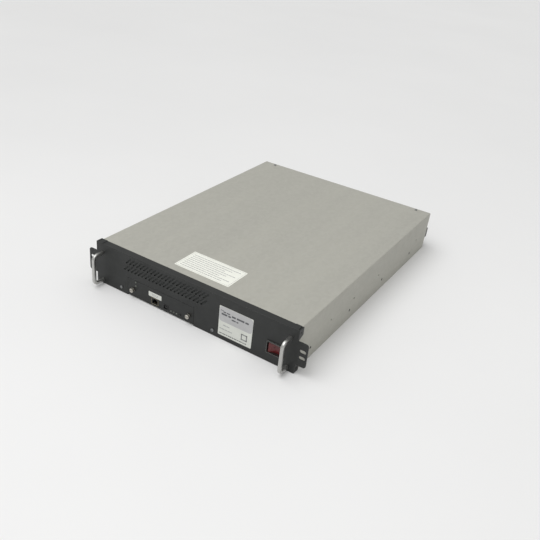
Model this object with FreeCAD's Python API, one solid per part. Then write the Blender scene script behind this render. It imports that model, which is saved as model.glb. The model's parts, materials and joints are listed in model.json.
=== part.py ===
import FreeCAD, Part
import math
import os

from FreeCAD import Rotation, Vector

# Rack-mount uninterruptible power supply, two rack units high.
# Millimetres.  X runs to the right as seen from the front, Y to the rear, Z up.
# While modelling, Y = 0 is the seam between the front panel's flange and the cover, and Z = 0 is the
# resting face; save() moves every node so that the row's origin is the middle of the footprint.

# ---- overall sizes -------------------------------------------------------------------------------
rack_width = 482.6  # across the ears: the 19-inch rack standard
chassis_width = 440.0
chassis_height = 86.0
chassis_depth = 582.0  # seam behind the front panel to the cover's rear edge
fit_gap = 0.15  # between sheet-metal parts that nest
touch_gap = 0.3  # between pieces on different bodies

# ---- sheet metal ---------------------------------------------------------------------------------
cover_sheet = 1.2
cover_bend = 2.2  # outside radius of the cover's long bends
tray_sheet = 1.2
tray_flange = 30.0  # height of the tray's side flanges
panel_sheet = 2.0
panel_flange = 14.5  # depth of the front panel's folded edge
rear_sheet = 1.2
rear_recess = 1.5  # rear panel stands inside the cover's rear edge
rear_flange = 14.0
lip_reach = 10.0  # joggled lips that run forward under the front panel's flanges
lip_height = 24.0  # upright edge at the front of the tray
rear_edge_height = 14.0  # upright edge at the rear of the tray

# ---- front panel ---------------------------------------------------------------------------------
ear_half_height = 23.5
ear_corner = 5.0
slot_centres = 465.1  # across the rack, slot to slot
slot_pitch = 12.7  # the rack's close hole pair
slot_length = 12.0
slot_height = 6.8
corner_rise = 0.8  # the folded corners stand a little above the top flange
corner_length = 15.0
wing_ear_gap = 0.5  # the side flanges run a little past the ear's corners
wing_slope = 6.0  # how far a flange's end slants from the front face to the rear
wing_screw_share = 0.45  # of the flange's depth, from the cover's seam
wing_screw_drop = 6.5  # below the top of the panel
vent_left = -150.0
vent_right = 38.0
vent_drops = (28.0, 13.0)  # below the top of the panel
vent_pitch = 8.5
vent_length = 18.0
vent_width = 2.8
vent_angle = 45.0

# ---- handles -------------------------------------------------------------------------------------
handle_offset = 207.5
handle_low = 4.0
handle_drop = 16.0  # below the top of the panel
handle_reach = 27.0
handle_width = 6.2  # along X
handle_thick = 7.2
handle_round = 2.2
handle_bend = 9.0  # centre-line radius
handle_tap_depth = 10.5

# ---- fasteners -----------------------------------------------------------------------------------
m3_radius = 1.5
m3_head_radius = 2.9
m3_head_height = 1.9
m4_radius = 2.0
m4_head_radius = 3.9
m4_head_height = 2.6
thread_gap = 0.05  # radial, screw in its thread
hole_gap = 0.2  # radial, screw in a clearance hole
nut_radius = 3.6
nut_length = 4.0
screw_length = 7.0
handle_screw_length = 10.0
face_screw_height = 10.5

# ---- side walls ----------------------------------------------------------------------------------
rail_height = 42.0
rail_holes = (111.0, 204.0, 316.0, chassis_depth - 62.0)
cover_screw_height = 21.0
cover_screw_rows = (41.5, 192.0, 341.0, chassis_depth - 92.0)
top_screw_offset = 188.0
top_screw_setback = 8.0

# ---- communication card --------------------------------------------------------------------------
card_left = -143.0
card_right = 12.5
card_bottom = 2.4
card_top = 38.0
card_sheet = 1.5
card_gap = 0.6  # around the card's plate in the panel
card_board_left = card_left + 24.0
card_board_right = card_right - 24.5
card_board_length = 105.0
card_board_base = 4.3
card_foot = 9.0  # folded edge of the plate that carries the board
card_chips = ((19.0, 20.0, 45.0, 2.4), (57.0, 14.0, 50.0, 1.8))  # inset, side, setback, height
card_connector_depth = 8.0
card_connector_height = 9.0
board_sheet = 1.6
knob_height = 17.0
knob_left = card_left + 13.1
knob_right = card_right - 10.3
knob_radius = 4.3
knob_length = 5.6
knob_standoff = 1.0
knob_flutes = 20
collar_radius = 3.2
retainer_radius = 3.9
port_left = -85.0
port_width = 16.5
port_height = 13.5
port_depth = 21.0
port_mouth_width = 11.8
port_mouth_height = 7.8
port_mouth_depth = 13.0
usb_left = -57.0
usb_width = 12.0
usb_height = 11.0
usb_depth = 16.0
lamp_radius = 1.5
lamp_row = (-38.0, -31.5, -25.0)
lamp_row_height = 9.0
status_lamp_x = -123.0
status_lamp_heights = (27.2, 35.0)
reset_x = -17.5
reset_radius = 1.6
reset_travel = 0.8

# ---- power rocker --------------------------------------------------------------------------------
rocker_x = 181.5
rocker_height = 30.6
switch_width = 30.0
switch_height = 23.0
switch_depth = 26.0
bezel_lip = 1.0  # the bezel covers the panel's hole all round
bezel_proud = 2.2
bezel_round = 2.0
bezel_edge = 0.8
rocker_radius = switch_width / 2 - 1.5  # pivot axis to the rounded end faces
rocker_span = switch_height - 2.6
rocker_slope = 12.0  # each half of the hollowed face
rocker_tilt = 11.0  # either side of the middle
rocker_dip = 2.2  # face's valley in front of the pivot
rocker_recess = 6.4  # face's valley behind the bezel's front
rocker_back = 4.0
trunnion_radius = 1.4

# ---- labels --------------------------------------------------------------------------------------
label_sheet = 0.25
front_label = (67.0, 136.2, 9.0, 68.5)
card_label_left = -92.0
card_label_right = -61.5
card_label_height = 9.6
card_label_gap = 1.0  # above the network socket
top_label_half = 60.0
top_label_start = 17.5
top_label_depth = 62.0

# ---- batteries -----------------------------------------------------------------------------------
battery_width = 94.0
battery_length = 151.0
battery_height = 65.0
battery_count = 4
battery_space = 2.0
battery_start = 120.0
battery_wall = 2.5
battery_lid = 6.0
plate_stack = (21.0, 62.0, 48.0)
tab_width = 6.3
tab_sheet = 0.8
tab_height = 6.5
tab_inset = 9.0
strap_sheet = 1.5
strap_width = 24.0
strap_foot = 12.0
wire_radius = 2.2

# ---- power board ---------------------------------------------------------------------------------
board_left = -200.0
board_right = 108.0
board_start_gap = 26.0  # behind the batteries
board_end_gap = 14.0  # ahead of the fans
standoff_height = 8.0
standoff_radius = 3.2
core_size = (58.0, 46.0, 44.0)
core_share = 0.26  # of the board's length, to the core's middle
coil_margin = 5.0
sink_width = 38.0
sink_height = 52.0
sink_fins = 7
sink_offsets = (-150.0, 62.0)
sink_wall = 4.0
sink_fin = 1.8
sink_margins = (34.0, 12.0)  # from the board's front and rear edges
transistor_count = 4  # on each heatsink
transistor_size = (5.0, 16.0, 21.0)
transistor_base = 12.0  # above the board
transistor_leg = (0.8, 1.2)
transistor_leg_places = (-5.45, 0.0, 5.45)
capacitor_radius = 12.5
capacitor_height = 45.0
capacitor_margin = 34.0  # from the board's rear edge to the last pair
choke_radius = 17.0
choke_wire = 6.0
choke_base = 3.0
choke_margins = (24.0, 28.0)  # from the board's front and rear edges
choke_columns = (sink_offsets[0] + 32.0, sink_offsets[1] - sink_width - 22.0)
relay_size = (29.0, 12.7, 16.0)
relay_count = 4
relay_margin = 24.0  # from the board's front edge, and short of its rear edge
relay_inset = 16.0  # from the board's right-hand edge

# ---- rear panel ----------------------------------------------------------------------------------
fan_size = 80.0
fan_depth = 25.0
fan_positions = (-165.0, -78.0)
fan_rim = 2.0  # least wall between the bore and the frame's side
fan_screw_inset = 4.25
fan_tip_gap = 1.2
fan_hub = 15.5
fan_blades = 7
fan_blade_angle = 38.0
fan_blade_chord = 21.0
fan_blade_sheet = 1.6
fan_shaft = 1.5
fan_corner = 4.0
fan_arm_width = 3.2
fan_seat = 3.0  # thickness of the motor seat and of its arms
fan_bearing_radius = 5.0
fan_bearing_length = 12.0
fan_hub_front = 3.6  # behind the frame's front face
fan_hub_length = 18.4
fan_hub_wall = 2.0
guard_wire = 1.1
guard_ring_shares = (0.29, 0.53, 0.765, 1.0)  # of the fan's bore
outlet_width = 32.0
outlet_height = 25.0
outlet_columns = (-8.0, -8.0 + outlet_width + 3.0)
outlet_rows = (27.0, 27.0 + outlet_height + 7.0)
outlet_proud = 2.0
outlet_depth = 26.0
outlet_body_inset = 2.2
outlet_groove = (24.8, 16.8, 13.0)  # width, height, depth
outlet_core = (20.0, 12.0)
outlet_slot = (2.4, 4.6, 11.0)
outlet_slot_places = ((-7.0, -1.5), (7.0, -1.5), (0.0, 2.0))
inlet_x = 78.0
inlet_z = 59.0
inlet_width = 50.0
inlet_height = 24.0
inlet_flange = 2.5
inlet_corner = 4.0
inlet_body_half = 14.8
inlet_body_inset = 2.2
inlet_body_depth = 20.0
inlet_mouth = (24.4, 16.4)
inlet_mouth_corner = 2.5
inlet_screw_offset = 20.0
inlet_recess = 15.0  # behind the panel's outer face
inlet_pin = (2.0, 4.0, 11.0)
inlet_pin_places = ((-7.0, -1.5), (7.0, -1.5), (0.0, 2.5))
breaker_x = 66.0
breaker_z = 27.0
breaker_radius = 5.5
breaker_button_radius = 3.6
breaker_button_proud = 1.0
breaker_button_depth = 11.5  # inside the rear wall
breaker_case = (16.0, 34.0, 14.0)
breaker_reach = 6.0
breaker_nut_radius = 8.0
breaker_nut_height = 2.6
breaker_nut_flutes = 12
earth_x = 94.0
earth_z = 27.0
earth_inside = 6.0
earth_outside = 14.0
earth_nut_radius = 4.0
earth_nut_height = 3.2
earth_washer = (4.6, 0.8)  # radius, height
block_left = 122.0
block_right = 218.0
block_low = 20.5
block_high = 43.0
block_cover_reach = 18.0  # beyond the cover's rear edge
block_wall = 1.6
block_inset = 3.0  # body inside the cover's outline
block_inside = 14.0
block_face = 6.0
block_fin = (1.6, 12.0)  # thickness, reach
block_end = 0.9  # body beyond the last pole
block_clamp = (3.2, 2.4)  # radius, height
block_screw_inset = 4.5
block_seat = 4.0  # under the cover's screw heads
block_poles = 7
block_pitch = 11.0
grille_slots = 9
grille_pitch = 9.0
grille_x = 170.0
grille_low = 52.0
grille_high = 76.0
rear_seam = -34.5  # between the fan sheet and the connector sheet
rear_screws = (-211.0, sum(fan_positions) / 2, rear_seam + 5.0, 44.0, 112.0, 208.0)
rear_screw_height = 8.0

# ---- worked out from the sizes above -------------------------------------------------------------
half_width = chassis_width / 2
inner_half = half_width - cover_sheet
tray_half = inner_half - fit_gap
wing_half = half_width + fit_gap + panel_sheet
panel_front = -panel_flange
panel_back = panel_front + panel_sheet
under_cover = chassis_height - cover_sheet
under_flange = chassis_height - panel_sheet - fit_gap
rear_face = chassis_depth - rear_recess
rear_inside = rear_face - rear_sheet
tray_front = panel_back + touch_gap + 1.0
above_flange = panel_sheet + fit_gap
ear_low = chassis_height / 2 - ear_half_height
ear_high = chassis_height / 2 + ear_half_height
upper_wing_low = ear_high - wing_ear_gap
lower_wing_high = ear_low - wing_ear_gap
handle_high = chassis_height - handle_drop
face_screw_columns = (card_left - 16.5, card_right + 42.5)
slot_heights = (chassis_height / 2 - slot_pitch / 2, chassis_height / 2 + slot_pitch / 2)
battery_rear = battery_start + battery_length
battery_base = tray_sheet + 0.2
battery_top = battery_base + battery_height
battery_row = battery_count * battery_width + (battery_count - 1) * battery_space
board_start = battery_rear + board_start_gap
board_end = rear_inside - fan_depth - board_end_gap
board_base = tray_sheet + standoff_height
board_top = board_base + board_sheet
card_board_top = card_board_base + board_sheet
port_top = card_board_top + port_height
fan_bore = fan_size / 2 - fan_rim
fan_screw_pitch = fan_size - 2 * fan_screw_inset
pivot_y = panel_front - bezel_proud + rocker_recess + rocker_dip
y_low = panel_front - handle_reach
y_high = chassis_depth + block_cover_reach
footprint_middle = (y_low + y_high) / 2

X_AXIS = Vector(1, 0, 0)
Y_AXIS = Vector(0, 1, 0)
Z_AXIS = Vector(0, 0, 1)


# ---- shape helpers -------------------------------------------------------------------------------
def block(x0, x1, y0, y1, z0, z1):
    """A box between two corners."""
    return Part.makeBox(x1 - x0, y1 - y0, z1 - z0, Vector(x0, y0, z0))


def rod(x, y, z, axis, radius, length):
    """A cylinder that starts at a point and runs along an axis."""
    return Part.makeCylinder(radius, length, Vector(x, y, z), axis)


def rounded(shape, radius, direction, keep=lambda middle: True):
    """Round the straight edges that run along a direction."""
    edges = [
        edge
        for edge in shape.Edges
        if isinstance(edge.Curve, Part.Line)
        and abs(edge.tangentAt(edge.FirstParameter).dot(direction)) > 0.999
        and keep(edge.CenterOfMass)
    ]
    return shape.makeFillet(radius, edges)


def fuse(pieces):
    """One solid from pieces that overlap or share faces."""
    pieces = list(pieces)
    if len(pieces) == 1:
        return pieces[0]
    return pieces[0].fuse(pieces[1:]).removeSplitter()


def cut(shape, tools):
    """A shape with its holes and notches taken out."""
    tools = list(tools)
    return shape.cut(tools) if tools else shape


def prism(points, depth_vector):
    """A straight prism on a closed outline."""
    wire = Part.makePolygon([Vector(*point) for point in points + points[:1]])
    return Part.Face(wire).extrude(depth_vector)


def slot_along_x(x, y, z, length, height, depth):
    """A round-ended slot cutter, its length along X and its depth along Y."""
    reach = length / 2 - height / 2
    ends = [rod(x + side * reach, y, z, Y_AXIS, height / 2, depth) for side in (-1, 1)]
    middle = block(x - reach, x + reach, y, y + depth, z - height / 2, z + height / 2)
    return fuse([middle] + ends)


def bent_tube(points, radius, bend):
    """A round tube of straight runs joined by tangent arcs."""
    points = [Vector(*point) for point in points]
    edges = []
    start = points[0]
    for before, corner, after in zip(points, points[1:], points[2:]):
        back = (before - corner).normalize()
        ahead = (after - corner).normalize()
        half_angle = math.acos(max(-1.0, min(1.0, back.dot(ahead)))) / 2
        setback = bend / math.tan(half_angle)
        first = corner + back * setback
        last = corner + ahead * setback
        bisector = (back + ahead).normalize()
        middle = corner + bisector * (bend / math.sin(half_angle) - bend)
        edges.append(Part.LineSegment(start, first).toShape())
        edges.append(Part.Arc(first, middle, last).toShape())
        start = last
    edges.append(Part.LineSegment(start, points[-1]).toShape())
    path = Part.Wire(edges)
    direction = (points[1] - points[0]).normalize()
    section = Part.Wire(Part.makeCircle(radius, points[0], direction))
    return path.makePipeShell([section], True, False)


def pan_screw(x, y, z, axis, radius, head_radius, head_height, length):
    """A pan-head screw whose head sits on a point, its shank running along the axis."""
    origin = Vector(x, y, z)
    head = Part.makeCylinder(head_radius, head_height, origin - axis * head_height, axis)
    rim = [edge for edge in head.Edges if edge.CenterOfMass.isEqual(origin - axis * head_height, 0.01)
           and not isinstance(edge.Curve, Part.Line)]
    head = head.makeFillet(head_height * 0.45, rim)
    shank = Part.makeCylinder(radius, length, origin, axis)
    across = X_AXIS if abs(axis.x) < 0.5 else Y_AXIS
    other = axis.cross(across)
    recess = []
    for direction in (across, other):
        bar = Part.makeBox(head_radius * 1.1, head_radius * 0.28, head_height * 0.6)
        bar.translate(Vector(-head_radius * 0.55, -head_radius * 0.14, 0))
        bar.Placement = FreeCAD.Placement(
            origin - axis * (head_height * 1.02), Rotation(direction, axis.cross(direction), axis, "XZY")
        ).multiply(bar.Placement)
        recess.append(bar)
    return cut(fuse([head, shank]), recess)


def m3_screw(x, y, z, axis, length=screw_length):
    """An M3 pan-head screw."""
    return pan_screw(x, y, z, axis, m3_radius, m3_head_radius, m3_head_height, length)


def flush_screw(x, y, z, axis, length):
    """An M3 countersunk screw with its head's face on a point, its shank running along the axis."""
    origin = Vector(x, y, z)
    depth = m3_head_radius - m3_radius
    cone = Part.makeCone(m3_head_radius, m3_radius, depth, origin, axis)
    shank = Part.makeCylinder(m3_radius, length, origin, axis)
    driver = Part.makeCylinder(m3_radius * 0.75, depth * 0.8, origin, axis)
    return cut(fuse([cone, shank]), [driver])


def flush_seat(x, y, z, axis, sheet):
    """The countersunk hole that a flush screw sits in."""
    origin = Vector(x, y, z)
    depth = m3_head_radius - m3_radius
    cone = Part.makeCone(m3_head_radius + thread_gap, m3_radius + thread_gap, depth, origin, axis)
    return fuse([cone, Part.makeCylinder(m3_radius + thread_gap, sheet + 1, origin, axis)])


def m4_nut(x, y, z, axis):
    """An M4 clinch nut with its mouth on a point, its body running along the axis."""
    origin = Vector(x, y, z)
    body = Part.makeCylinder(nut_radius, nut_length, origin, axis)
    return body.cut(Part.makeCylinder(m4_radius + thread_gap, nut_length, origin, axis))


# ---- enclosure -----------------------------------------------------------------------------------
def side_screw_places():
    """Places of the flush screws that hold the cover to the tray: x, y and the inward axis."""
    return [(side * half_width, y, Vector(-side, 0, 0)) for side in (-1, 1) for y in cover_screw_rows]


def rail_places():
    """Places of the rail nuts behind the side walls: x, y and the inward axis."""
    return [(side * half_width, y, Vector(-side, 0, 0)) for side in (-1, 1) for y in rail_holes]


def card_screw_places():
    """X of the card's two captive screws."""
    return (knob_left, knob_right)


def chassis_tray():
    """Folded tray: floor, low side flanges, a front edge for the panel and a rear edge."""
    floor = block(-tray_half, tray_half, fit_gap, rear_inside, 0, tray_sheet)
    step = block(-tray_half, tray_half, fit_gap, fit_gap + tray_sheet, 0, above_flange + tray_sheet)
    lip = block(-tray_half, tray_half, tray_front, fit_gap + tray_sheet, above_flange,
                above_flange + tray_sheet)
    upright = block(-tray_half, tray_half, tray_front, tray_front + tray_sheet, above_flange, lip_height)
    card_way = block(card_board_left - 2, card_board_right + 2, tray_front - 1, tray_front + tray_sheet + 1,
                     above_flange + tray_sheet, lip_height + 1)
    switch_way = block(rocker_x - switch_width / 2 - 1, rocker_x + switch_width / 2 + 1, tray_front - 1,
                       tray_front + tray_sheet + 1, rocker_height - switch_height / 2 - 1, lip_height + 1)
    sides = [
        block(min(side * tray_half, side * (tray_half - tray_sheet)),
              max(side * tray_half, side * (tray_half - tray_sheet)),
              fit_gap + tray_sheet, rear_inside, 0, tray_flange)
        for side in (-1, 1)
    ]
    rear_edge = block(-tray_half, tray_half, rear_inside - tray_sheet, rear_inside, 0, rear_edge_height)
    fan_ways = [block(x - fan_size / 2 - 1, x + fan_size / 2 + 1, rear_inside - tray_sheet - 1,
                      rear_inside + 1, tray_sheet, rear_edge_height + 1) for x in fan_positions]
    holes = [rod(x, tray_front - 1, knob_height, Y_AXIS, m4_radius + thread_gap, tray_sheet + 2)
             for x in card_screw_places()]
    holes += [rod(x, y, cover_screw_height, axis, m3_radius + thread_gap, screw_length)
              for x, y, axis in side_screw_places()]
    holes += [rod(x, tray_front - 1, z, Y_AXIS, m4_head_radius + hole_gap, tray_sheet + 2)
              for x, z in handle_feet() if z < lip_height]
    holes += [rod(x, rear_inside - tray_sheet - 1, rear_screw_height, Y_AXIS, m3_radius + thread_gap,
                  tray_sheet + 2) for x in rear_screws]
    holes += [rod(x, tray_front - 1, z, Y_AXIS, m3_radius + thread_gap, tray_sheet + 2)
              for x, z in face_screw_places()]
    tray = fuse([floor, step, lip, upright, rear_edge] + sides)
    return [cut(tray, [card_way, switch_way] + fan_ways + holes)]


def top_cover():
    """U-shaped cover: the top and both side walls from one sheet, with bent long edges."""
    outer = rounded(block(-half_width, half_width, fit_gap, chassis_depth, 0, chassis_height), cover_bend,
                    Y_AXIS, lambda middle: middle.z > chassis_height / 2)
    inner = rounded(block(-inner_half, inner_half, -1, chassis_depth + 1, -1, under_cover),
                    cover_bend - cover_sheet, Y_AXIS, lambda middle: middle.z > chassis_height / 2)
    shell = outer.cut(inner)
    step = block(-inner_half + 1, inner_half - 1, fit_gap, fit_gap + cover_sheet,
                 under_flange - cover_sheet, under_cover + cover_sheet / 2)
    lip = block(-inner_half + 1, inner_half - 1, -lip_reach, fit_gap + cover_sheet,
                under_flange - cover_sheet, under_flange)
    cheeks = [
        block(min(side * half_width, side * inner_half), max(side * half_width, side * inner_half),
              panel_back + fit_gap, fit_gap + 1, 0, under_flange)
        for side in (-1, 1)
    ]
    holes = [flush_seat(x, y, cover_screw_height, axis, cover_sheet) for x, y, axis in side_screw_places()]
    holes += [rod(x + axis.x * -1, y, rail_height, axis, m4_radius + thread_gap, cover_sheet + 2)
              for x, y, axis in rail_places()]
    holes += [rod(x, chassis_depth - top_screw_setback, chassis_height + 1, -Z_AXIS, m3_radius + hole_gap,
                  cover_sheet + 2) for x in (-top_screw_offset, top_screw_offset)]
    holes += [rod(side * (half_width + 1), y, z, Vector(-side, 0, 0), m3_radius + thread_gap,
                  cover_sheet + 2) for side, y, z in wing_screw_places()]
    return [cut(fuse([shell, step, lip] + cheeks), holes)]


def rear_wall():
    """Rear wall with its folded edges and every opening for the parts that it carries."""
    low = tray_sheet + fit_gap
    high = under_cover - fit_gap
    plate = block(-tray_half, tray_half, rear_inside, rear_face, low, high)
    top_flange = block(-tray_half, tray_half, rear_face - rear_flange, rear_face, high - rear_sheet, high)
    sides = [
        block(min(side * tray_half, side * (tray_half - rear_sheet)),
              max(side * tray_half, side * (tray_half - rear_sheet)),
              rear_face - rear_flange, rear_face, tray_flange + 1, high)
        for side in (-1, 1)
    ]
    holes = []
    for x in fan_positions:
        holes.append(rod(x, rear_inside - 1, chassis_height / 2, Y_AXIS, fan_bore, rear_sheet + 2))
        holes += [rod(x + dx, rear_inside - 1, chassis_height / 2 + dz, Y_AXIS, m3_radius + hole_gap,
                      rear_sheet + 2) for dx, dz in fan_corners()]
    for x, z in outlet_places():
        half = outlet_width / 2 - outlet_body_inset + hole_gap
        rise = outlet_height / 2 - outlet_body_inset + hole_gap
        holes.append(block(x - half, x + half, rear_inside - 1, rear_face + 1, z - rise, z + rise))
    inlet_half = inlet_body_half + hole_gap
    inlet_rise = inlet_height / 2 - inlet_body_inset + hole_gap
    holes.append(block(inlet_x - inlet_half, inlet_x + inlet_half, rear_inside - 1, rear_face + 1,
                       inlet_z - inlet_rise, inlet_z + inlet_rise))
    holes += [rod(x, rear_inside - 1, inlet_z, Y_AXIS, m3_radius + hole_gap, rear_sheet + 2)
              for x in inlet_screws()]
    holes.append(rod(breaker_x, rear_inside - 1, breaker_z, Y_AXIS, breaker_radius + hole_gap,
                     rear_sheet + 2))
    holes.append(rod(earth_x, rear_inside - 1, earth_z, Y_AXIS, m4_radius + thread_gap, rear_sheet + 2))
    block_middle, block_half = pole_span()
    holes.append(block(block_middle - block_half - 1, block_middle + block_half + 1, rear_inside - 1,
                       rear_face + 1, block_low + 2.5, block_high - 2.5))
    holes += [rod(x, rear_inside - 1, (block_low + block_high) / 2, Y_AXIS, m3_radius + thread_gap,
                  rear_sheet + 2) for x in block_screws()]
    holes += [rod(x, rear_inside - 1, rear_screw_height, Y_AXIS, m3_radius + hole_gap, rear_sheet + 2)
              for x in rear_screws]
    for index in range(grille_slots):
        x = grille_x + (index - (grille_slots - 1) / 2) * grille_pitch
        holes.append(block(x - 1.6, x + 1.6, rear_inside - 1, rear_face + 1, grille_low, grille_high))
    holes += [rod(x, chassis_depth - top_screw_setback, high + 1, -Z_AXIS, m3_radius + thread_gap,
                  rear_sheet + 2) for x in (-top_screw_offset, top_screw_offset)]
    panel = rounded(fuse([plate, top_flange] + sides), cover_bend - cover_sheet + fit_gap, Y_AXIS,
                    lambda middle: abs(middle.x) > tray_half - 0.01 and middle.z > high - 0.01)
    return cut(panel, holes)


def rear_panel():
    """Rear wall's left sheet, which carries the fans."""
    return [rear_wall().common(rear_side(-half_width, rear_seam - fit_gap / 2))]


def connector_panel():
    """Rear wall's right sheet, which carries the outlets, the inlet and the terminals."""
    return [rear_wall().common(rear_side(rear_seam + fit_gap / 2, half_width))]


def rear_side(left, right):
    """The space that one sheet of the rear wall may fill."""
    return block(left, right, rear_face - rear_flange - 1, chassis_depth, 0, chassis_height)


def vent_cutters():
    """Two staggered rows of slots that lean to the right."""
    cutters = []
    for row, drop in enumerate(vent_drops):
        z = chassis_height - drop
        count = int((vent_right - vent_left) / vent_pitch)
        for index in range(count):
            x = vent_left + (index + 0.5 + 0.5 * row) * vent_pitch
            cutter = slot_along_x(0, panel_front - 1, 0, vent_length, vent_width, panel_sheet + 2)
            cutter.rotate(Vector(0, 0, 0), Y_AXIS, -vent_angle)
            cutter.translate(Vector(x, 0, z))
            cutters.append(cutter)
    return cutters


def face_screw_places():
    """Places of the two screws low on the face, one each side of the card: x and z."""
    return [(x, face_screw_height) for x in face_screw_columns]


def wing_screw_places():
    """Places of the flush screws in the panel's side flanges: side, y and z."""
    y = panel_front * (1 - wing_screw_share)
    return [(side, y, z) for side in (-1, 1)
            for z in (lower_wing_high * wing_screw_share, chassis_height - wing_screw_drop)]


def front_panel():
    """Folded front panel: face, ears with rack slots, and flanges that wrap the chassis."""
    face = block(-wing_half, wing_half, panel_front, panel_back, 0, chassis_height)
    ears = block(-rack_width / 2, rack_width / 2, panel_front, panel_back, ear_low, ear_high)
    ears = rounded(ears, ear_corner, Y_AXIS)
    bottom = block(-tray_half, tray_half, panel_front, 0, 0, panel_sheet)
    top = block(-tray_half, tray_half, panel_front, 0, chassis_height - panel_sheet, chassis_height)
    pieces = [face, ears, bottom, top]
    rise_top = chassis_height + corner_rise
    for side in (-1, 1):
        inner, outer = side * (wing_half - corner_length), side * wing_half
        pieces.append(block(min(inner, outer), max(inner, outer), panel_front, panel_back,
                            chassis_height - 1, rise_top))
        corner_end = side * tray_half
        pieces.append(block(min(inner, corner_end), max(inner, corner_end), panel_front, 0,
                            rise_top - panel_sheet, rise_top))
        wall = side * (wing_half - panel_sheet)
        thickness = Vector(side * panel_sheet, 0, 0)
        upper = [(wall, panel_front, upper_wing_low), (wall, 0, upper_wing_low + wing_slope),
                 (wall, 0, rise_top), (wall, panel_front, rise_top)]
        lower = [(wall, panel_front, 0), (wall, 0, 0), (wall, 0, lower_wing_high - wing_slope),
                 (wall, panel_front, lower_wing_high)]
        pieces += [prism(upper, thickness), prism(lower, thickness)]
    holes = vent_cutters()
    holes.append(block(card_left - card_gap, card_right + card_gap, panel_front - 1, 1, -1,
                       card_top + card_gap))
    holes.append(block(rocker_x - switch_width / 2 - fit_gap, rocker_x + switch_width / 2 + fit_gap,
                       panel_front - 1, panel_back + 1, rocker_height - switch_height / 2 - fit_gap,
                       rocker_height + switch_height / 2 + fit_gap))
    holes += [slot_along_x(side * slot_centres / 2, panel_front - 1, z, slot_length, slot_height,
                           panel_sheet + 2) for side in (-1, 1) for z in slot_heights]
    holes += [rod(x, panel_front - 1, z, Y_AXIS, m4_radius + hole_gap, panel_sheet + 2)
              for x, z in handle_feet()]
    holes += [rod(x, panel_front - 1, z, Y_AXIS, m3_radius + hole_gap, panel_sheet + 2)
              for x, z in face_screw_places()]
    holes += [flush_seat(side * wing_half, y, z, Vector(-side, 0, 0), panel_sheet)
              for side, y, z in wing_screw_places()]
    return [cut(fuse(pieces), holes)]


# ---- handles -------------------------------------------------------------------------------------
def handle_feet():
    """Centres of the four handle feet on the face: x and z."""
    return [(side * handle_offset, z) for side in (-1, 1)
            for z in (handle_low + handle_thick / 2, handle_high - handle_thick / 2)]


def handle(side):
    """Bent bar handle with tapped feet, from one rounded bar."""
    x = side * handle_offset
    low = handle_low + handle_thick / 2
    high = handle_high - handle_thick / 2
    out = panel_front - handle_reach + handle_thick / 2
    slant = handle_bend * (1 - math.sqrt(0.5))
    bend = handle_bend
    points = [Vector(x, panel_front, low), Vector(x, out + bend, low), Vector(x, out + slant, low + slant),
              Vector(x, out, low + bend), Vector(x, out, high - bend),
              Vector(x, out + slant, high - slant), Vector(x, out + bend, high),
              Vector(x, panel_front, high)]
    path = Part.Wire([
        Part.LineSegment(points[0], points[1]).toShape(),
        Part.Arc(points[1], points[2], points[3]).toShape(),
        Part.LineSegment(points[3], points[4]).toShape(),
        Part.Arc(points[4], points[5], points[6]).toShape(),
        Part.LineSegment(points[6], points[7]).toShape(),
    ])
    bar = block(x - handle_width / 2, x + handle_width / 2, panel_front - 1, panel_front,
                low - handle_thick / 2, low + handle_thick / 2)
    bar = rounded(bar, handle_round, Y_AXIS)
    end = max(bar.Faces, key=lambda face: face.CenterOfMass.y)
    shape = path.makePipeShell([end.OuterWire], True, False)
    holes = [rod(x, panel_front, z, -Y_AXIS, m4_radius + thread_gap, handle_tap_depth) for z in (low, high)]
    return [cut(shape, holes)]


def handle_screws():
    """Four M4 pan-head screws that hold the handles from behind the panel."""
    return [pan_screw(x, panel_back, z, -Y_AXIS, m4_radius, m4_head_radius, m4_head_height,
                      handle_screw_length) for x, z in handle_feet()]


# ---- fasteners of the enclosure ------------------------------------------------------------------
def clinch_nuts():
    """M4 nuts pressed behind the side walls and behind the tray's front edge."""
    nuts = [m4_nut(x + axis.x * cover_sheet, y, rail_height, axis) for x, y, axis in rail_places()]
    nuts += [m4_nut(x, tray_front + tray_sheet, knob_height, Y_AXIS) for x in card_screw_places()]
    return nuts


def flush_screws():
    """Countersunk M3 screws along the cover's side walls and in the panel's side flanges."""
    screws = [flush_screw(x, y, cover_screw_height, axis, screw_length - 1)
              for x, y, axis in side_screw_places()]
    screws += [flush_screw(side * wing_half, y, z, Vector(-side, 0, 0), screw_length - 1)
               for side, y, z in wing_screw_places()]
    return screws


def panel_screws():
    """M3 pan-head screws on the face, on the cover's rear corners and around the rear panel."""
    screws = [m3_screw(x, panel_front, z, Y_AXIS) for x, z in face_screw_places()]
    through_top = cover_sheet + fit_gap + rear_sheet
    screws += [m3_screw(x, chassis_depth - top_screw_setback, chassis_height, -Z_AXIS, through_top)
               for x in (-top_screw_offset, top_screw_offset)]
    screws += [m3_screw(x, rear_face, rear_screw_height, -Y_AXIS) for x in rear_screws]
    return screws


# ---- labels --------------------------------------------------------------------------------------
def front_label_sheet():
    """Printed label on the face."""
    left, right, low, high = front_label
    sheet = block(left, right, panel_front - label_sheet, panel_front, low, high)
    return [rounded(sheet, 1.5, Y_AXIS)]


def top_label_sheet():
    """Printed label on the cover."""
    sheet = block(-top_label_half, top_label_half, top_label_start, top_label_start + top_label_depth,
                  chassis_height, chassis_height + label_sheet)
    return [rounded(sheet, 1.5, Z_AXIS)]


def card_label_sheet():
    """Small label above the card's network socket."""
    low = port_top + card_label_gap
    sheet = block(card_label_left, card_label_right, panel_front - label_sheet, panel_front, low,
                  low + card_label_height)
    return [rounded(sheet, 1.0, Y_AXIS)]


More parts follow.
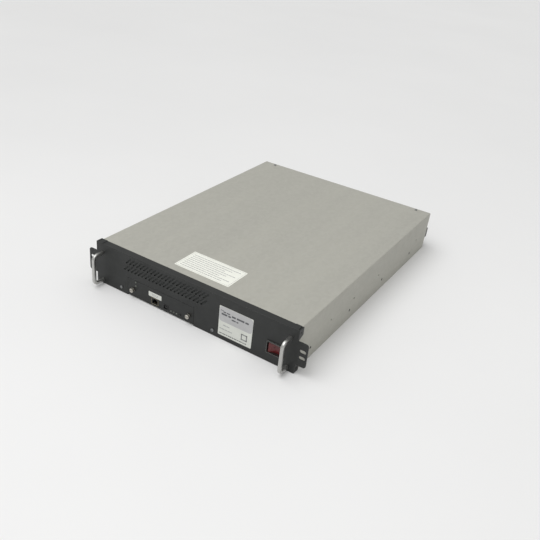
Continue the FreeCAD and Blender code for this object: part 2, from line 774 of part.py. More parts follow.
# ---- power rocker --------------------------------------------------------------------------------
def rocker_housing():
    """Black switch body with its bezel, a pocket for the rocker and three blade terminals."""
    front = panel_front - bezel_proud
    bezel_half, bezel_rise = switch_width / 2 + bezel_lip, switch_height / 2 + bezel_lip
    bezel = block(rocker_x - bezel_half, rocker_x + bezel_half, front, panel_front,
                  rocker_height - bezel_rise, rocker_height + bezel_rise)
    bezel = rounded(bezel, bezel_round, Y_AXIS)
    rim = [edge for edge in bezel.Edges if abs(edge.BoundBox.YMax - front) < 1e-6]
    bezel = bezel.makeFillet(bezel_edge, rim)
    body = block(rocker_x - switch_width / 2, rocker_x + switch_width / 2, panel_front,
                 panel_front + switch_depth, rocker_height - switch_height / 2,
                 rocker_height + switch_height / 2)
    pocket_half = rocker_radius + touch_gap
    pocket = block(rocker_x - pocket_half, rocker_x + pocket_half, front - 1, pivot_y + rocker_back + 4,
                   rocker_height - rocker_span / 2 - touch_gap, rocker_height + rocker_span / 2 + touch_gap)
    sockets = [rod(rocker_x, pivot_y, rocker_height - rocker_span / 2 - 1.2, Z_AXIS,
                   trunnion_radius + thread_gap, rocker_span + 2.4)]
    blades = [
        block(rocker_x + dx - 0.4, rocker_x + dx + 0.4, panel_front + switch_depth,
              panel_front + switch_depth + 8, rocker_height + dz - 3.1, rocker_height + dz + 3.1)
        for dx in (-9, 9) for dz in (-5, 5)
    ]
    return [cut(fuse([bezel, body]), [pocket] + sockets)] + blades


def rocker():
    """Red rocker with a hollowed face and rounded ends, turned to one of its two resting places."""
    rise = rocker_radius * math.tan(math.radians(rocker_slope))
    reach = rocker_radius + 1
    low = rocker_height - rocker_span / 2
    outline = [
        (rocker_x - reach, pivot_y - rocker_dip - rise * reach / rocker_radius, low),
        (rocker_x, pivot_y - rocker_dip, low),
        (rocker_x + reach, pivot_y - rocker_dip - rise * reach / rocker_radius, low),
        (rocker_x + reach, pivot_y + rocker_back, low),
        (rocker_x - reach, pivot_y + rocker_back, low),
    ]
    body = prism(outline, Vector(0, 0, rocker_span))
    body = body.common(rod(rocker_x, pivot_y, low, Z_AXIS, rocker_radius, rocker_span))
    pins = rod(rocker_x, pivot_y, low - 1.1, Z_AXIS, trunnion_radius, rocker_span + 2.2)
    shape = fuse([body, pins])
    shape.rotate(Vector(rocker_x, pivot_y, 0), Z_AXIS, rocker_tilt)
    return [shape]


# ---- communication card --------------------------------------------------------------------------
def card_plate():
    """Black plate of the card, flush in the front panel, with its openings."""
    plate = block(card_left, card_right, panel_front, panel_front + card_sheet, card_bottom, card_top)
    plate = rounded(plate, 1.0, Y_AXIS)
    foot = block(card_board_left, card_board_right, panel_front, panel_front + card_foot,
                 above_flange + tray_sheet + fit_gap, card_board_base)
    holes = [rod(x, panel_front - 1, knob_height, Y_AXIS, collar_radius + 0.1, card_sheet + 2)
             for x in card_screw_places()]
    holes.append(block(port_left - 0.2, port_left + port_width + 0.2, panel_front - 1,
                       panel_front + card_sheet + 0.01, card_board_top, card_board_top + port_height + 0.2))
    holes.append(block(usb_left - 0.2, usb_left + usb_width + 0.2, panel_front - 1,
                       panel_front + card_sheet + 0.01, card_board_top, card_board_top + usb_height + 0.2))
    holes += [rod(x, panel_front - 1, z, Y_AXIS, lamp_radius + thread_gap, card_sheet + 2)
              for x, z in lamp_places()]
    holes.append(rod(reset_x, panel_front - 1, lamp_row_height, Y_AXIS, reset_radius + 0.1, card_sheet + 2))
    return [cut(fuse([plate, foot]), holes)]


def card_board():
    """Circuit board of the card, its front edge behind the plate, with two chips and a connector."""
    start = panel_front + card_sheet
    end = start + card_board_length
    board = block(card_board_left, card_board_right, start, end, card_board_base, card_board_top)
    chips = []
    for inset, side, setback, height in card_chips:
        x, y = card_board_left + inset, start + setback
        chips.append(block(x, x + side, y, y + side, card_board_top, card_board_top + height))
    connector = block(card_board_left + 15, card_board_right - 15, end - card_connector_depth, end,
                      card_board_top, card_board_top + card_connector_height)
    return [board] + chips + [connector]


def network_socket():
    """Shielded network socket with its stepped mouth and eight contacts."""
    low = card_board_top
    middle = port_left + port_width / 2
    front = panel_front - 0.4
    shell = block(port_left, port_left + port_width, front, front + port_depth, low, low + port_height)
    mouth_low = low + 1.9
    mouth = block(middle - port_mouth_width / 2, middle + port_mouth_width / 2, front - 1,
                  front + port_mouth_depth, mouth_low, mouth_low + port_mouth_height)
    latch = block(middle - 3, middle + 3, front - 1, front + port_mouth_depth - 3,
                  mouth_low + port_mouth_height - 1, mouth_low + port_mouth_height + 2.2)
    contacts = [
        block(middle + (index - 3.5) * 1.02 - 0.2, middle + (index - 3.5) * 1.02 + 0.2,
              front + port_mouth_depth - 7, front + port_mouth_depth, mouth_low, mouth_low + 1.1)
        for index in range(8)
    ]
    return [cut(shell, [mouth, latch])] + contacts


def usb_socket():
    """Square serial-bus socket with its tongue."""
    low = card_board_top
    front = panel_front - 0.4
    middle = usb_left + usb_width / 2
    shell = block(usb_left, usb_left + usb_width, front, front + usb_depth, low, low + usb_height)
    mouth = block(middle - 4.3, middle + 4.3, front - 1, front + 9, low + 1.5, low + 9.3)
    tongue = block(middle - 2.8, middle + 2.8, front + 1, front + 9, low + 3.8, low + 7.0)
    return [cut(shell, [mouth]).fuse(tongue).removeSplitter()]


def lamp_places():
    """Centres of the indicator lamps on the card: x and z."""
    places = [(x, lamp_row_height) for x in lamp_row]
    return places + [(status_lamp_x, z) for z in status_lamp_heights]


def card_lamps():
    """Domed lamp lenses that look through the card's plate."""
    lamps = []
    for x, z in lamp_places():
        stem = rod(x, panel_front - 0.3, z, Y_AXIS, lamp_radius, card_sheet + 3)
        dome = Part.makeSphere(lamp_radius, Vector(x, panel_front - 0.3, z))
        lamps.append(fuse([stem, dome]))
    return lamps


def reset_button():
    """Small round push button on the card."""
    return [rod(reset_x, panel_front - 1.2, lamp_row_height, Y_AXIS, reset_radius, 5.0)]


def reset_switch():
    """Switch body on the card's board that the reset button presses."""
    start = panel_front - 1.2 + 5.0 + reset_travel + touch_gap
    return [block(reset_x - 3, reset_x + 3, start, start + 4, card_board_top, card_board_top + 6)]


def captive_screw(x):
    """Knurled captive screw: fluted knob, collar through the plate, retainer and thread."""
    head_end = panel_front - knob_standoff
    knob = rod(x, head_end - knob_length, knob_height, Y_AXIS, knob_radius, knob_length)
    knob = knob.makeFillet(0.6, [edge for edge in knob.Edges if edge.Closed and not isinstance(
        edge.Curve, Part.Line) and abs(edge.CenterOfMass.y - (head_end - knob_length)) < 0.01])
    flutes = []
    for index in range(knob_flutes):
        angle = 2 * math.pi * index / knob_flutes
        flutes.append(rod(x + (knob_radius + 0.25) * math.cos(angle), head_end - knob_length + 1.2,
                          knob_height + (knob_radius + 0.25) * math.sin(angle), Y_AXIS, 0.6,
                          knob_length - 2.4))
    flutes.append(block(x - knob_radius, x + knob_radius, head_end - knob_length - 1,
                        head_end - knob_length + 1.2, knob_height - 0.6, knob_height + 0.6))
    plate_back = panel_front + card_sheet
    collar = rod(x, head_end, knob_height, Y_AXIS, collar_radius, knob_standoff + card_sheet + 0.1)
    retainer = rod(x, plate_back + 0.1, knob_height, Y_AXIS, retainer_radius, 0.8)
    thread = rod(x, plate_back, knob_height, Y_AXIS, m4_radius,
                 tray_front + tray_sheet + nut_length - plate_back)
    return [fuse([cut(knob, flutes), collar, retainer, thread])]


def card_guides():
    """Two nylon guides on the tray's floor that hold the edges of the card's board."""
    guides = []
    start = fit_gap + tray_sheet + 6
    for edge, inward in ((card_board_left, 1), (card_board_right, -1)):
        outer = edge - inward * 4
        inner = edge + inward * 3
        rail = block(min(outer, inner), max(outer, inner), start, start + card_board_length - 26,
                     tray_sheet, card_board_top + 3)
        groove_end = edge - inward * 0.4
        groove_far = inner + inward
        rail = cut(rail, [block(min(groove_end, groove_far), max(groove_end, groove_far), start - 1,
                                start + card_board_length, card_board_base - 0.3, card_board_top + 0.3)])
        guides.append(rail)
    return guides


# ---- batteries -----------------------------------------------------------------------------------
def battery_left(index):
    """Left side of one battery in the row."""
    return -battery_row / 2 + index * (battery_width + battery_space)


def battery_case(index):
    """One sealed battery: a case with its lid closed over the plate stacks."""
    x0 = battery_left(index)
    outer = block(x0, x0 + battery_width, battery_start, battery_rear, battery_base, battery_top)
    outer = rounded(outer, 2.0, Z_AXIS)
    inner = block(x0 + battery_wall, x0 + battery_width - battery_wall, battery_start + battery_wall,
                  battery_rear - battery_wall, battery_base + battery_wall, battery_top - battery_lid)
    seam = block(x0 - 1, x0 + battery_width + 1, battery_start - 1, battery_rear + 1,
                 battery_top - battery_lid - 0.8, battery_top - battery_lid)
    seam = seam.cut(block(x0 + 0.6, x0 + battery_width - 0.6, battery_start + 0.6, battery_rear - 0.6, 0,
                          battery_top))
    return [cut(outer, [inner, seam])]


def battery_plates():
    """Lead plate stacks, six to each battery."""
    width, length, height = plate_stack
    stacks = []
    for index in range(battery_count):
        middle = battery_left(index) + battery_width / 2
        for column in range(3):
            for row in range(2):
                x = middle + (column - 1) * (width + 5)
                y = battery_start + battery_length / 2 + (row - 0.5) * (length + 5)
                stacks.append(block(x - width / 2, x + width / 2, y - length / 2, y + length / 2,
                                    battery_base + battery_wall, battery_base + battery_wall + height))
    return stacks


def tab_places():
    """Centres of the battery tabs on top of the cases: x and y."""
    places = []
    for index in range(battery_count):
        x0 = battery_left(index)
        places.append((x0 + 14, battery_rear - tab_inset))
        places.append((x0 + battery_width - 14, battery_rear - tab_inset))
    return places


def battery_tabs():
    """Blade tabs of the batteries."""
    return [block(x - tab_width / 2, x + tab_width / 2, y - tab_sheet / 2, y + tab_sheet / 2, battery_top,
                  battery_top + tab_height) for x, y in tab_places()]


def tab_boot(x, y):
    """Insulated push-on connector over a tab."""
    boot = block(x - tab_width / 2 - 1.2, x + tab_width / 2 + 1.2, y - 2.2, y + 2.2, battery_top + 0.2,
                 battery_top + tab_height + 2)
    return boot.cut(block(x - tab_width / 2, x + tab_width / 2, y - tab_sheet / 2, y + tab_sheet / 2,
                          battery_top, battery_top + tab_height))


def battery_links():
    """Short leads that join the batteries in series."""
    places = tab_places()
    links = []
    for first, second in zip(places[1:-1:2], places[2::2]):
        z = battery_top + tab_height + 2
        tube = bent_tube([(first[0], first[1], z), (first[0], first[1], z + 5),
                          (second[0], second[1], z + 5), (second[0], second[1], z)], wire_radius, 3.5)
        links.append(fuse([tab_boot(*first), tube, tab_boot(*second)]))
    return links


def battery_lead(place, drop_x):
    """Lead from an end tab of the row back to its socket on the power board."""
    x, y = place
    z = battery_top + tab_height + 2
    landing = board_start + 12
    tube = bent_tube([(x, y, z), (x, y, z + 5), (drop_x, landing, z + 5), (drop_x, landing, board_top + 6)],
                     wire_radius, 4.0)
    plug = block(drop_x - 5, drop_x + 5, landing - 4, landing + 4, board_top, board_top + 8)
    return [fuse([tab_boot(x, y), tube, plug])]


def battery_strap():
    """Folded strap over the batteries, its feet on the tray."""
    reach = battery_row / 2 + 1.5
    middle = battery_start + battery_length * 0.45
    y0, y1 = middle - strap_width / 2, middle + strap_width / 2
    top = block(-reach - strap_sheet, reach + strap_sheet, y0, y1, battery_top + 0.2,
                battery_top + 0.2 + strap_sheet)
    pieces = [top]
    for side in (-1, 1):
        inner, outer = side * reach, side * (reach + strap_sheet)
        pieces.append(block(min(inner, outer), max(inner, outer), y0, y1, tray_sheet,
                            battery_top + 0.2 + strap_sheet))
        foot_end = side * (reach + strap_sheet + strap_foot)
        pieces.append(block(min(inner, foot_end), max(inner, foot_end), y0, y1, tray_sheet,
                            tray_sheet + strap_sheet))
    return [fuse(pieces)]


# ---- power board ---------------------------------------------------------------------------------
def standoff_places():
    """Places of the power board's standoffs: x and y."""
    middle = (board_left + board_right) / 2
    return [(x, y) for x in (board_left + 8, middle, board_right - 8)
            for y in (board_start + 5, board_end - 5)]


def power_board():
    """Main circuit board."""
    board = block(board_left, board_right, board_start, board_end, board_base, board_top)
    holes = [rod(x, y, board_base - 1, Z_AXIS, m3_radius + thread_gap, board_sheet + 2)
             for x, y in standoff_places()]
    return [cut(board, holes)]


def board_standoffs():
    """Hexagonal standoffs on the tray's floor."""
    posts = []
    for x, y in standoff_places():
        corners = [(x + standoff_radius * math.cos(math.radians(60 * k)),
                    y + standoff_radius * math.sin(math.radians(60 * k)), tray_sheet) for k in range(6)]
        post = prism(corners, Vector(0, 0, standoff_height))
        posts.append(post.cut(rod(x, y, tray_sheet, Z_AXIS, m3_radius + thread_gap, standoff_height)))
    return posts


def board_screws():
    """M3 screws that hold the power board on its standoffs."""
    return [m3_screw(x, y, board_top, -Z_AXIS, screw_length - 1) for x, y in standoff_places()]


def core_box():
    """Corners of the transformer's core on the board."""
    width, length, height = core_size
    x = (board_left + board_right) / 2
    y = board_start + core_share * (board_end - board_start)
    return (x - width / 2, x + width / 2, y - length / 2, y + length / 2, board_top, board_top + height)


def transformer_core():
    """Ferrite core with two windows for the winding."""
    x0, x1, y0, y1, z0, z1 = core_box()
    leg = (x1 - x0) / 6
    windows = [block(x0 + leg, x0 + 2 * leg, y0 - 1, y1 + 1, z0 + leg, z1 - leg),
               block(x1 - 2 * leg, x1 - leg, y0 - 1, y1 + 1, z0 + leg, z1 - leg)]
    return [cut(block(x0, x1, y0, y1, z0, z1), windows)]


def transformer_coil():
    """Taped winding around the core's middle leg."""
    x0, x1, y0, y1, z0, z1 = core_box()
    leg = (x1 - x0) / 6
    outer = block(x0 + leg + 0.4, x1 - leg - 0.4, y0 - coil_margin, y1 + coil_margin, z0 + leg + 0.5,
                  z1 - leg - 0.5)
    outer = rounded(outer, 4.0, Z_AXIS)
    inner = block(x0 + 2 * leg - 0.3, x1 - 2 * leg + 0.3, y0 - 0.3, y1 + 0.3, z0, z1)
    return [outer.cut(inner)]


def heatsink_span():
    """Front and rear ends of the heatsinks."""
    return board_start + sink_margins[0], board_end - sink_margins[1]


def heatsinks():
    """Two finned aluminium extrusions along the air flow."""
    y0, y1 = heatsink_span()
    sinks = []
    for x in sink_offsets:
        wall = block(x, x + sink_wall, y0, y1, board_top, board_top + sink_height)
        fins = []
        for index in range(sink_fins):
            z = board_top + 3 + index * (sink_height - 6) / (sink_fins - 1)
            fins.append(block(x - sink_width + 6, x + sink_wall, y0, y1, z - sink_fin / 2,
                              z + sink_fin / 2))
        sinks.append(fuse([wall] + fins))
    return sinks


def power_transistors():
    """Power transistors bolted to the flat side of each heatsink."""
    y0, y1 = heatsink_span()
    thick, wide, tall = transistor_size
    leg_thick, leg_wide = transistor_leg
    base = board_top + transistor_base
    parts = []
    for x in sink_offsets:
        face = x + sink_wall
        for index in range(transistor_count):
            y = y0 + (index + 0.5) * (y1 - y0) / transistor_count
            parts.append(block(face, face + thick, y - wide / 2, y + wide / 2, base, base + tall))
            for offset in transistor_leg_places:
                left = face + 1.5
                low = y + offset - leg_wide / 2
                parts.append(block(left, left + leg_thick, low, low + leg_wide, board_top, base))
    return parts


def capacitors():
    """Bus capacitors beside the transformer."""
    middle = (board_left + board_right) / 2
    parts = []
    for column in (-1, 1):
        for row in range(2):
            x = middle + column * (capacitor_radius + 2)
            y = board_end - capacitor_margin - row * (2 * capacitor_radius + 3)
            can = rod(x, y, board_top, Z_AXIS, capacitor_radius, capacitor_height)
            ring = Part.makeTorus(capacitor_radius, 0.9, Vector(x, y, board_top + capacitor_height - 5))
            parts.append(can.cut(ring))
    return parts


def chokes():
    """Toroidal filter chokes at the outlet end of the board."""
    parts = []
    for x in choke_columns:
        for y in (board_start + choke_margins[0], board_end - choke_margins[1]):
            ring = Part.makeTorus(choke_radius - choke_wire, choke_wire,
                                  Vector(x, y, board_top + choke_wire + 0.2))
            base = rod(x, y, board_top, Z_AXIS, choke_radius - 1, choke_base)
            parts.append(fuse([ring, base]))
    return parts


def relays():
    """Sealed relays along the board's right-hand edge."""
    length, width, height = relay_size
    parts = []
    pitch = (board_end - board_start - relay_margin) / relay_count
    for index in range(relay_count):
        y = board_start + relay_margin + index * pitch
        right = board_right - relay_inset
        case = block(right - width, right, y, y + length, board_top, board_top + height)
        parts.append(rounded(case, 0.8, Z_AXIS))
    return parts


# ---- fans ----------------------------------------------------------------------------------------
def fan_corners():
    """Offsets of a fan's four screws from its middle."""
    half = fan_screw_pitch / 2
    return [(dx, dz) for dx in (-half, half) for dz in (-half, half)]


def fan_frame(x):
    """Square fan frame: bore, four arms to the motor seat, bearing bore and screw holes."""
    z = chassis_height / 2
    y0, y1 = rear_inside - fan_depth, rear_inside
    frame = rounded(block(x - fan_size / 2, x + fan_size / 2, y0, y1, z - fan_size / 2, z + fan_size / 2),
                    fan_corner, Y_AXIS)
    frame = frame.cut(rod(x, y0 - 1, z, Y_AXIS, fan_bore, fan_depth + 2))
    arms = []
    for turn in range(4):
        arm = block(x + fan_hub - fan_seat, x + fan_bore + 0.5, y0, y0 + fan_seat,
                    z - fan_arm_width / 2, z + fan_arm_width / 2)
        arm.rotate(Vector(x, 0, z), Y_AXIS, 45 + 90 * turn)
        arms.append(arm)
    seat = rod(x, y0, z, Y_AXIS, fan_hub, fan_seat)
    bearing = rod(x, y0 + 2, z, Y_AXIS, fan_bearing_radius, fan_bearing_length)
    holes = [rod(x, y0 - 1, z, Y_AXIS, fan_shaft + thread_gap, fan_depth)]
    holes += [rod(x + dx, y0 - 1, z + dz, Y_AXIS, m3_radius + thread_gap, fan_depth + 2)
              for dx, dz in fan_corners()]
    return [cut(fuse([frame, seat, bearing] + arms), holes)]


def fan_rotor(x):
    """Cup-shaped hub on its shaft with swept blades."""
    z = chassis_height / 2
    y0 = rear_inside - fan_depth
    front = y0 + fan_hub_front
    back = front + fan_hub_length
    hub = rod(x, front, z, Y_AXIS, fan_hub, back - front)
    hub = hub.cut(rod(x, front - 1, z, Y_AXIS, fan_hub - fan_hub_wall, back - front - 1))
    shaft = rod(x, y0 + 1, z, Y_AXIS, fan_shaft, back - y0 - 1.5)
    tip = fan_bore - fan_tip_gap
    blades = []
    for index in range(fan_blades):
        blade = Part.makeBox(tip + 3 - fan_hub, fan_blade_chord, fan_blade_sheet,
                             Vector(fan_hub - 1.0, -fan_blade_chord / 2, -fan_blade_sheet / 2))
        blade.rotate(Vector(0, 0, 0), X_AXIS, fan_blade_angle)
        blade.rotate(Vector(0, 0, 0), Y_AXIS, 360.0 * index / fan_blades)
        blade.translate(Vector(x, (front + back) / 2, z))
        blades.append(blade)
    sweep = rod(x, front + 0.2, z, Y_AXIS, tip, back - front - 0.4)
    sweep = sweep.cut(rod(x, front - 1, z, Y_AXIS, fan_hub - 1.0, back - front + 2))
    blades = [blade.common(sweep) for blade in blades]
    return [fuse([hub, shaft] + blades)]


def fan_guards():
    """Wire finger guards outside the rear panel."""
    guards = []
    z = chassis_height / 2
    guard_rings = [share * fan_bore for share in guard_ring_shares]
    for x in fan_positions:
        y = rear_face + guard_wire
        pieces = [Part.makeTorus(radius, guard_wire, Vector(x, y + guard_wire * 1.2, z), Y_AXIS)
                  for radius in guard_rings]
        for turn in range(4):
            spoke = rod(x + guard_rings[0] - 2, y, z, X_AXIS, guard_wire,
                        fan_screw_pitch / math.sqrt(2) - guard_rings[0] - 1)
            spoke.rotate(Vector(x, 0, z), Y_AXIS, 45 + 90 * turn)
            pieces.append(spoke)
        for dx, dz in fan_corners():
            pieces.append(rod(x + dx, rear_face, z + dz, Y_AXIS, 3.6, 2 * guard_wire))
        holes = [rod(x + dx, rear_face - 1, z + dz, Y_AXIS, m3_radius + hole_gap, 4 * guard_wire)
                 for dx, dz in fan_corners()]
        guards.append(cut(fuse(pieces), holes))
    return guards


def fan_screws():
    """Screws through the guards and the rear panel into the fan frames."""
    z = chassis_height / 2
    return [m3_screw(x + dx, rear_face + 2 * guard_wire, z + dz, -Y_AXIS, 12.0)
            for x in fan_positions for dx, dz in fan_corners()]


# ---- rear connectors -----------------------------------------------------------------------------
def outlet_places():
    """Centres of the outlets: x and z."""
    return [(x, z) for x in outlet_columns for z in outlet_rows]


def outlet(x, z):
    """Snap-in outlet: flange, body, the groove around its core and three narrow slots."""
    flange = block(x - outlet_width / 2, x + outlet_width / 2, rear_face, rear_face + outlet_proud,
                   z - outlet_height / 2, z + outlet_height / 2)
    flange = rounded(flange, 2.0, Y_AXIS)
    inset = outlet_body_inset
    body = block(x - outlet_width / 2 + inset, x + outlet_width / 2 - inset, rear_inside - outlet_depth,
                 rear_face + 0.5, z - outlet_height / 2 + inset, z + outlet_height / 2 - inset)
    wide, tall, deep = outlet_groove
    groove = block(x - wide / 2, x + wide / 2, rear_face - deep, rear_face + outlet_proud + 1,
                   z - tall / 2, z + tall / 2)
    core = block(x - outlet_core[0] / 2, x + outlet_core[0] / 2, rear_face - deep - 1,
                 rear_face + outlet_proud + 2, z - outlet_core[1] / 2, z + outlet_core[1] / 2)
    groove = groove.cut(rounded(core, 3.0, Y_AXIS))
    wide, tall, deep = outlet_slot
    slots = [block(x + dx - wide / 2, x + dx + wide / 2, rear_face - deep, rear_face + outlet_proud + 1,
                   z + dz - tall / 2, z + dz + tall / 2) for dx, dz in outlet_slot_places]
    return cut(fuse([flange, body]), [groove] + slots)


def outlets():
    """Four identical outlets."""
    return [outlet(x, z) for x, z in outlet_places()]


def inlet_screws():
    """X of the inlet's two screws."""
    return (inlet_x - inlet_screw_offset, inlet_x + inlet_screw_offset)


def power_inlet():
    """Panel inlet: screw flange and the recess for the connector."""
    low, high = inlet_z - inlet_height / 2, inlet_z + inlet_height / 2
    flange = block(inlet_x - inlet_width / 2, inlet_x + inlet_width / 2, rear_face,
                   rear_face + inlet_flange, low, high)
    flange = rounded(flange, inlet_corner, Y_AXIS)
    body = block(inlet_x - inlet_body_half, inlet_x + inlet_body_half, rear_inside - inlet_body_depth,
                 rear_face + 1, low + inlet_body_inset, high - inlet_body_inset)
    wide, tall = inlet_mouth
    recess = block(inlet_x - wide / 2, inlet_x + wide / 2, rear_face - inlet_recess,
                   rear_face + inlet_flange + 1.5, inlet_z - tall / 2, inlet_z + tall / 2)
    recess = rounded(recess, inlet_mouth_corner, Y_AXIS)
    holes = [rod(x, rear_face - 1, inlet_z, Y_AXIS, m3_radius + hole_gap, 6) for x in inlet_screws()]
    return [cut(fuse([flange, body]), [recess] + holes)]


def inlet_pins():
    """Three flat pins that stand on the floor of the inlet's recess."""
    floor = rear_face - inlet_recess
    return [block(inlet_x + dx - inlet_pin[0] / 2, inlet_x + dx + inlet_pin[0] / 2, floor,
                  floor + inlet_pin[2], inlet_z + dz - inlet_pin[1] / 2, inlet_z + dz + inlet_pin[1] / 2)
            for dx, dz in inlet_pin_places]


def connector_screws():
    """Screws of the inlet and of the terminal cover."""
    screws = [m3_screw(x, rear_face + inlet_flange, inlet_z, -Y_AXIS) for x in inlet_screws()]
    middle = (block_low + block_high) / 2
    return screws + [m3_screw(x, rear_face + block_seat, middle, -Y_AXIS, screw_length + 2)
                     for x in block_screws()]


def breaker_body():
    """Circuit breaker: body behind the panel, threaded neck and ring nut."""
    wide, deep, tall = breaker_case
    body = block(breaker_x - wide / 2, breaker_x + wide / 2, rear_inside - deep, rear_inside,
                 breaker_z - tall / 2, breaker_z + tall / 2)
    body = rounded(body, 1.0, Y_AXIS)
    neck = rod(breaker_x, rear_inside - 1, breaker_z, Y_AXIS, breaker_radius,
               rear_sheet + breaker_reach + 1)
    nut = rod(breaker_x, rear_face, breaker_z, Y_AXIS, breaker_nut_radius, breaker_nut_height)
    rim = [edge for edge in nut.Edges
           if edge.Closed and abs(edge.CenterOfMass.y - rear_face - breaker_nut_height) < 0.01]
    nut = nut.makeFillet(0.6, rim)
    flutes = []
    for index in range(breaker_nut_flutes):
        angle = 2 * math.pi * index / breaker_nut_flutes
        reach = breaker_nut_radius + 0.2
        flutes.append(rod(breaker_x + reach * math.cos(angle), rear_face - 1,
                          breaker_z + reach * math.sin(angle), Y_AXIS, 0.8, breaker_nut_height + 2))
    bore = rod(breaker_x, rear_inside - breaker_button_depth - 0.5, breaker_z, Y_AXIS,
               breaker_button_radius + 0.1, breaker_case[1])
    return [cut(fuse([body, neck, nut.cut(flutes)]), [bore])]


def breaker_button():
    """Push-to-reset button, at rest in its pushed-in place."""
    start = rear_inside - breaker_button_depth
    top = rear_face + breaker_reach + breaker_button_proud
    button = rod(breaker_x, start, breaker_z, Y_AXIS, breaker_button_radius, top - start)
    rim = [edge for edge in button.Edges if edge.Closed and abs(edge.CenterOfMass.y - top) < 0.01]
    return [button.makeFillet(0.6, rim)]


def earth_stud():
    """Earth stud with two nuts and a washer."""
    washer_radius, washer_height = earth_washer
    pieces = [rod(earth_x, rear_inside - earth_inside, earth_z, Y_AXIS, m4_radius,
                  earth_inside + rear_sheet + earth_outside)]
    for y in (rear_inside - earth_nut_height, rear_face + washer_height):
        corners = [(earth_x + earth_nut_radius * math.cos(math.radians(60 * k)), y,
                    earth_z + earth_nut_radius * math.sin(math.radians(60 * k))) for k in range(6)]
        pieces.append(prism(corners, Vector(0, earth_nut_height, 0)))
    pieces.append(rod(earth_x, rear_face, earth_z, Y_AXIS, washer_radius, washer_height))
    return [fuse(pieces)]


def pole_span():
    """Middle and half-length of the terminal block's body."""
    middle = (block_left + block_right) / 2
    return middle, block_poles * block_pitch / 2 + block_end


def block_screws():
    """X of the two screws at the ends of the terminal cover."""
    return (block_left + block_screw_inset, block_right - block_screw_inset)


def terminal_block():
    """Barrier terminal block: body, fins between the poles, and a clamp screw on each pole."""
    middle, half = pole_span()
    low, high = block_low + block_inset, block_high - block_inset
    body = block(middle - half, middle + half, rear_inside - block_inside, rear_face + block_face, low, high)
    fin_sheet, fin_reach = block_fin
    fins = []
    for index in range(block_poles + 1):
        x = middle + (index - block_poles / 2) * block_pitch
        fins.append(block(x - fin_sheet / 2, x + fin_sheet / 2, rear_face + block_face - 1,
                          rear_face + fin_reach, low, high))
    clamp_radius, clamp_height = block_clamp
    screws = [rod(middle + (index - (block_poles - 1) / 2) * block_pitch, rear_face + block_face,
                  (low + high) / 2, Y_AXIS, clamp_radius, clamp_height) for index in range(block_poles)]
    return [fuse([body] + fins)] + screws


def terminal_cover():
    """Black cover over the terminals: a closed box on the panel side only open to the block."""
    depth = chassis_depth + block_cover_reach - rear_face
    outer = block(block_left, block_right, rear_face, rear_face + depth, block_low, block_high)
    outer = rounded(outer, 1.5, Y_AXIS)
    outer = outer.makeFillet(1.2, [edge for edge in outer.Edges
                                   if abs(edge.BoundBox.YMin - (rear_face + depth)) < 1e-6])
    block_middle, block_half = pole_span()
    inner = block(block_middle - block_half - touch_gap, block_middle + block_half + touch_gap, rear_face - 1,
                  rear_face + depth - block_wall, block_low + block_wall, block_high - block_wall)
    middle = (block_low + block_high) / 2
    wells = []
    for x in block_screws():
        wells.append(rod(x, rear_face - 1, middle, Y_AXIS, m3_radius + hole_gap, depth + 2))
        wells.append(rod(x, rear_face + block_seat, middle, Y_AXIS, m3_head_radius + 2 * hole_gap, depth))
    return [cut(outer, [inner] + wells)]


# ---- write the nodes -----------------------------------------------------------------------------
def nodes():
    """Every node's name with the function that gives its solids."""
    table = {
        "chassis_tray": chassis_tray,
        "top_cover": top_cover,
        "rear_panel": rear_panel,
        "connector_panel": connector_panel,
        "front_panel": front_panel,
        "handle_left": lambda: handle(-1),
        "handle_right": lambda: handle(1),
        "handle_screws": handle_screws,
        "clinch_nuts": clinch_nuts,
        "flush_screws": flush_screws,
        "panel_screws": panel_screws,
        "front_label": front_label_sheet,
        "top_label": top_label_sheet,
        "rocker_housing": rocker_housing,
        "rocker": rocker,
        "card_plate": card_plate,
        "card_board": card_board,
        "card_label": card_label_sheet,
        "network_socket": network_socket,
        "usb_socket": usb_socket,
        "card_lamps": card_lamps,
        "reset_button": reset_button,
        "reset_switch": reset_switch,
        "thumbscrew_left": lambda: captive_screw(knob_left),
        "thumbscrew_right": lambda: captive_screw(knob_right),
        "card_guides": card_guides,
        "battery_plates": battery_plates,
        "battery_tabs": battery_tabs,
        "battery_links": battery_links,
        "battery_lead_positive": lambda: battery_lead(tab_places()[0], board_left + 40),
        "battery_lead_negative": lambda: battery_lead(tab_places()[-1], board_right - 30),
        "battery_strap": battery_strap,
        "power_board": power_board,
        "board_standoffs": board_standoffs,
        "board_screws": board_screws,
        "transformer_core": transformer_core,
        "transformer_coil": transformer_coil,
        "heatsinks": heatsinks,
        "power_transistors": power_transistors,
        "capacitors": capacitors,
        "chokes": chokes,
        "relays": relays,
        "fan_frame_left": lambda: fan_frame(fan_positions[0]),
        "fan_frame_right": lambda: fan_frame(fan_positions[1]),
        "fan_rotor_left": lambda: fan_rotor(fan_positions[0]),
        "fan_rotor_right": lambda: fan_rotor(fan_positions[1]),
        "fan_guards": fan_guards,
        "outlets": outlets,
        "power_inlet": power_inlet,
        "inlet_pins": inlet_pins,
        "rear_wall_screws": lambda: fan_screws() + connector_screws(),
        "breaker_body": breaker_body,
        "breaker_button": breaker_button,
        "earth_stud": earth_stud,
        "terminal_block": terminal_block,
        "terminal_cover": terminal_cover,
    }
    for index in range(battery_count):
        table["battery_%d" % (index + 1)] = lambda index=index: battery_case(index)
    return table


def save(name, solids):
    """Write one node, moved so that the origin is the middle of the footprint."""
    shape = solids[0] if len(solids) == 1 else Part.makeCompound(solids)
    shape = shape.copy()
    shape.translate(Vector(0, -footprint_middle, 0))
    if not shape.isValid():
        print("not valid:", name)
    shape.exportStep("parts/%s.step" % name)
    print("%-24s solids %2d  volume %.0f" % (name, len(shape.Solids), shape.Volume))


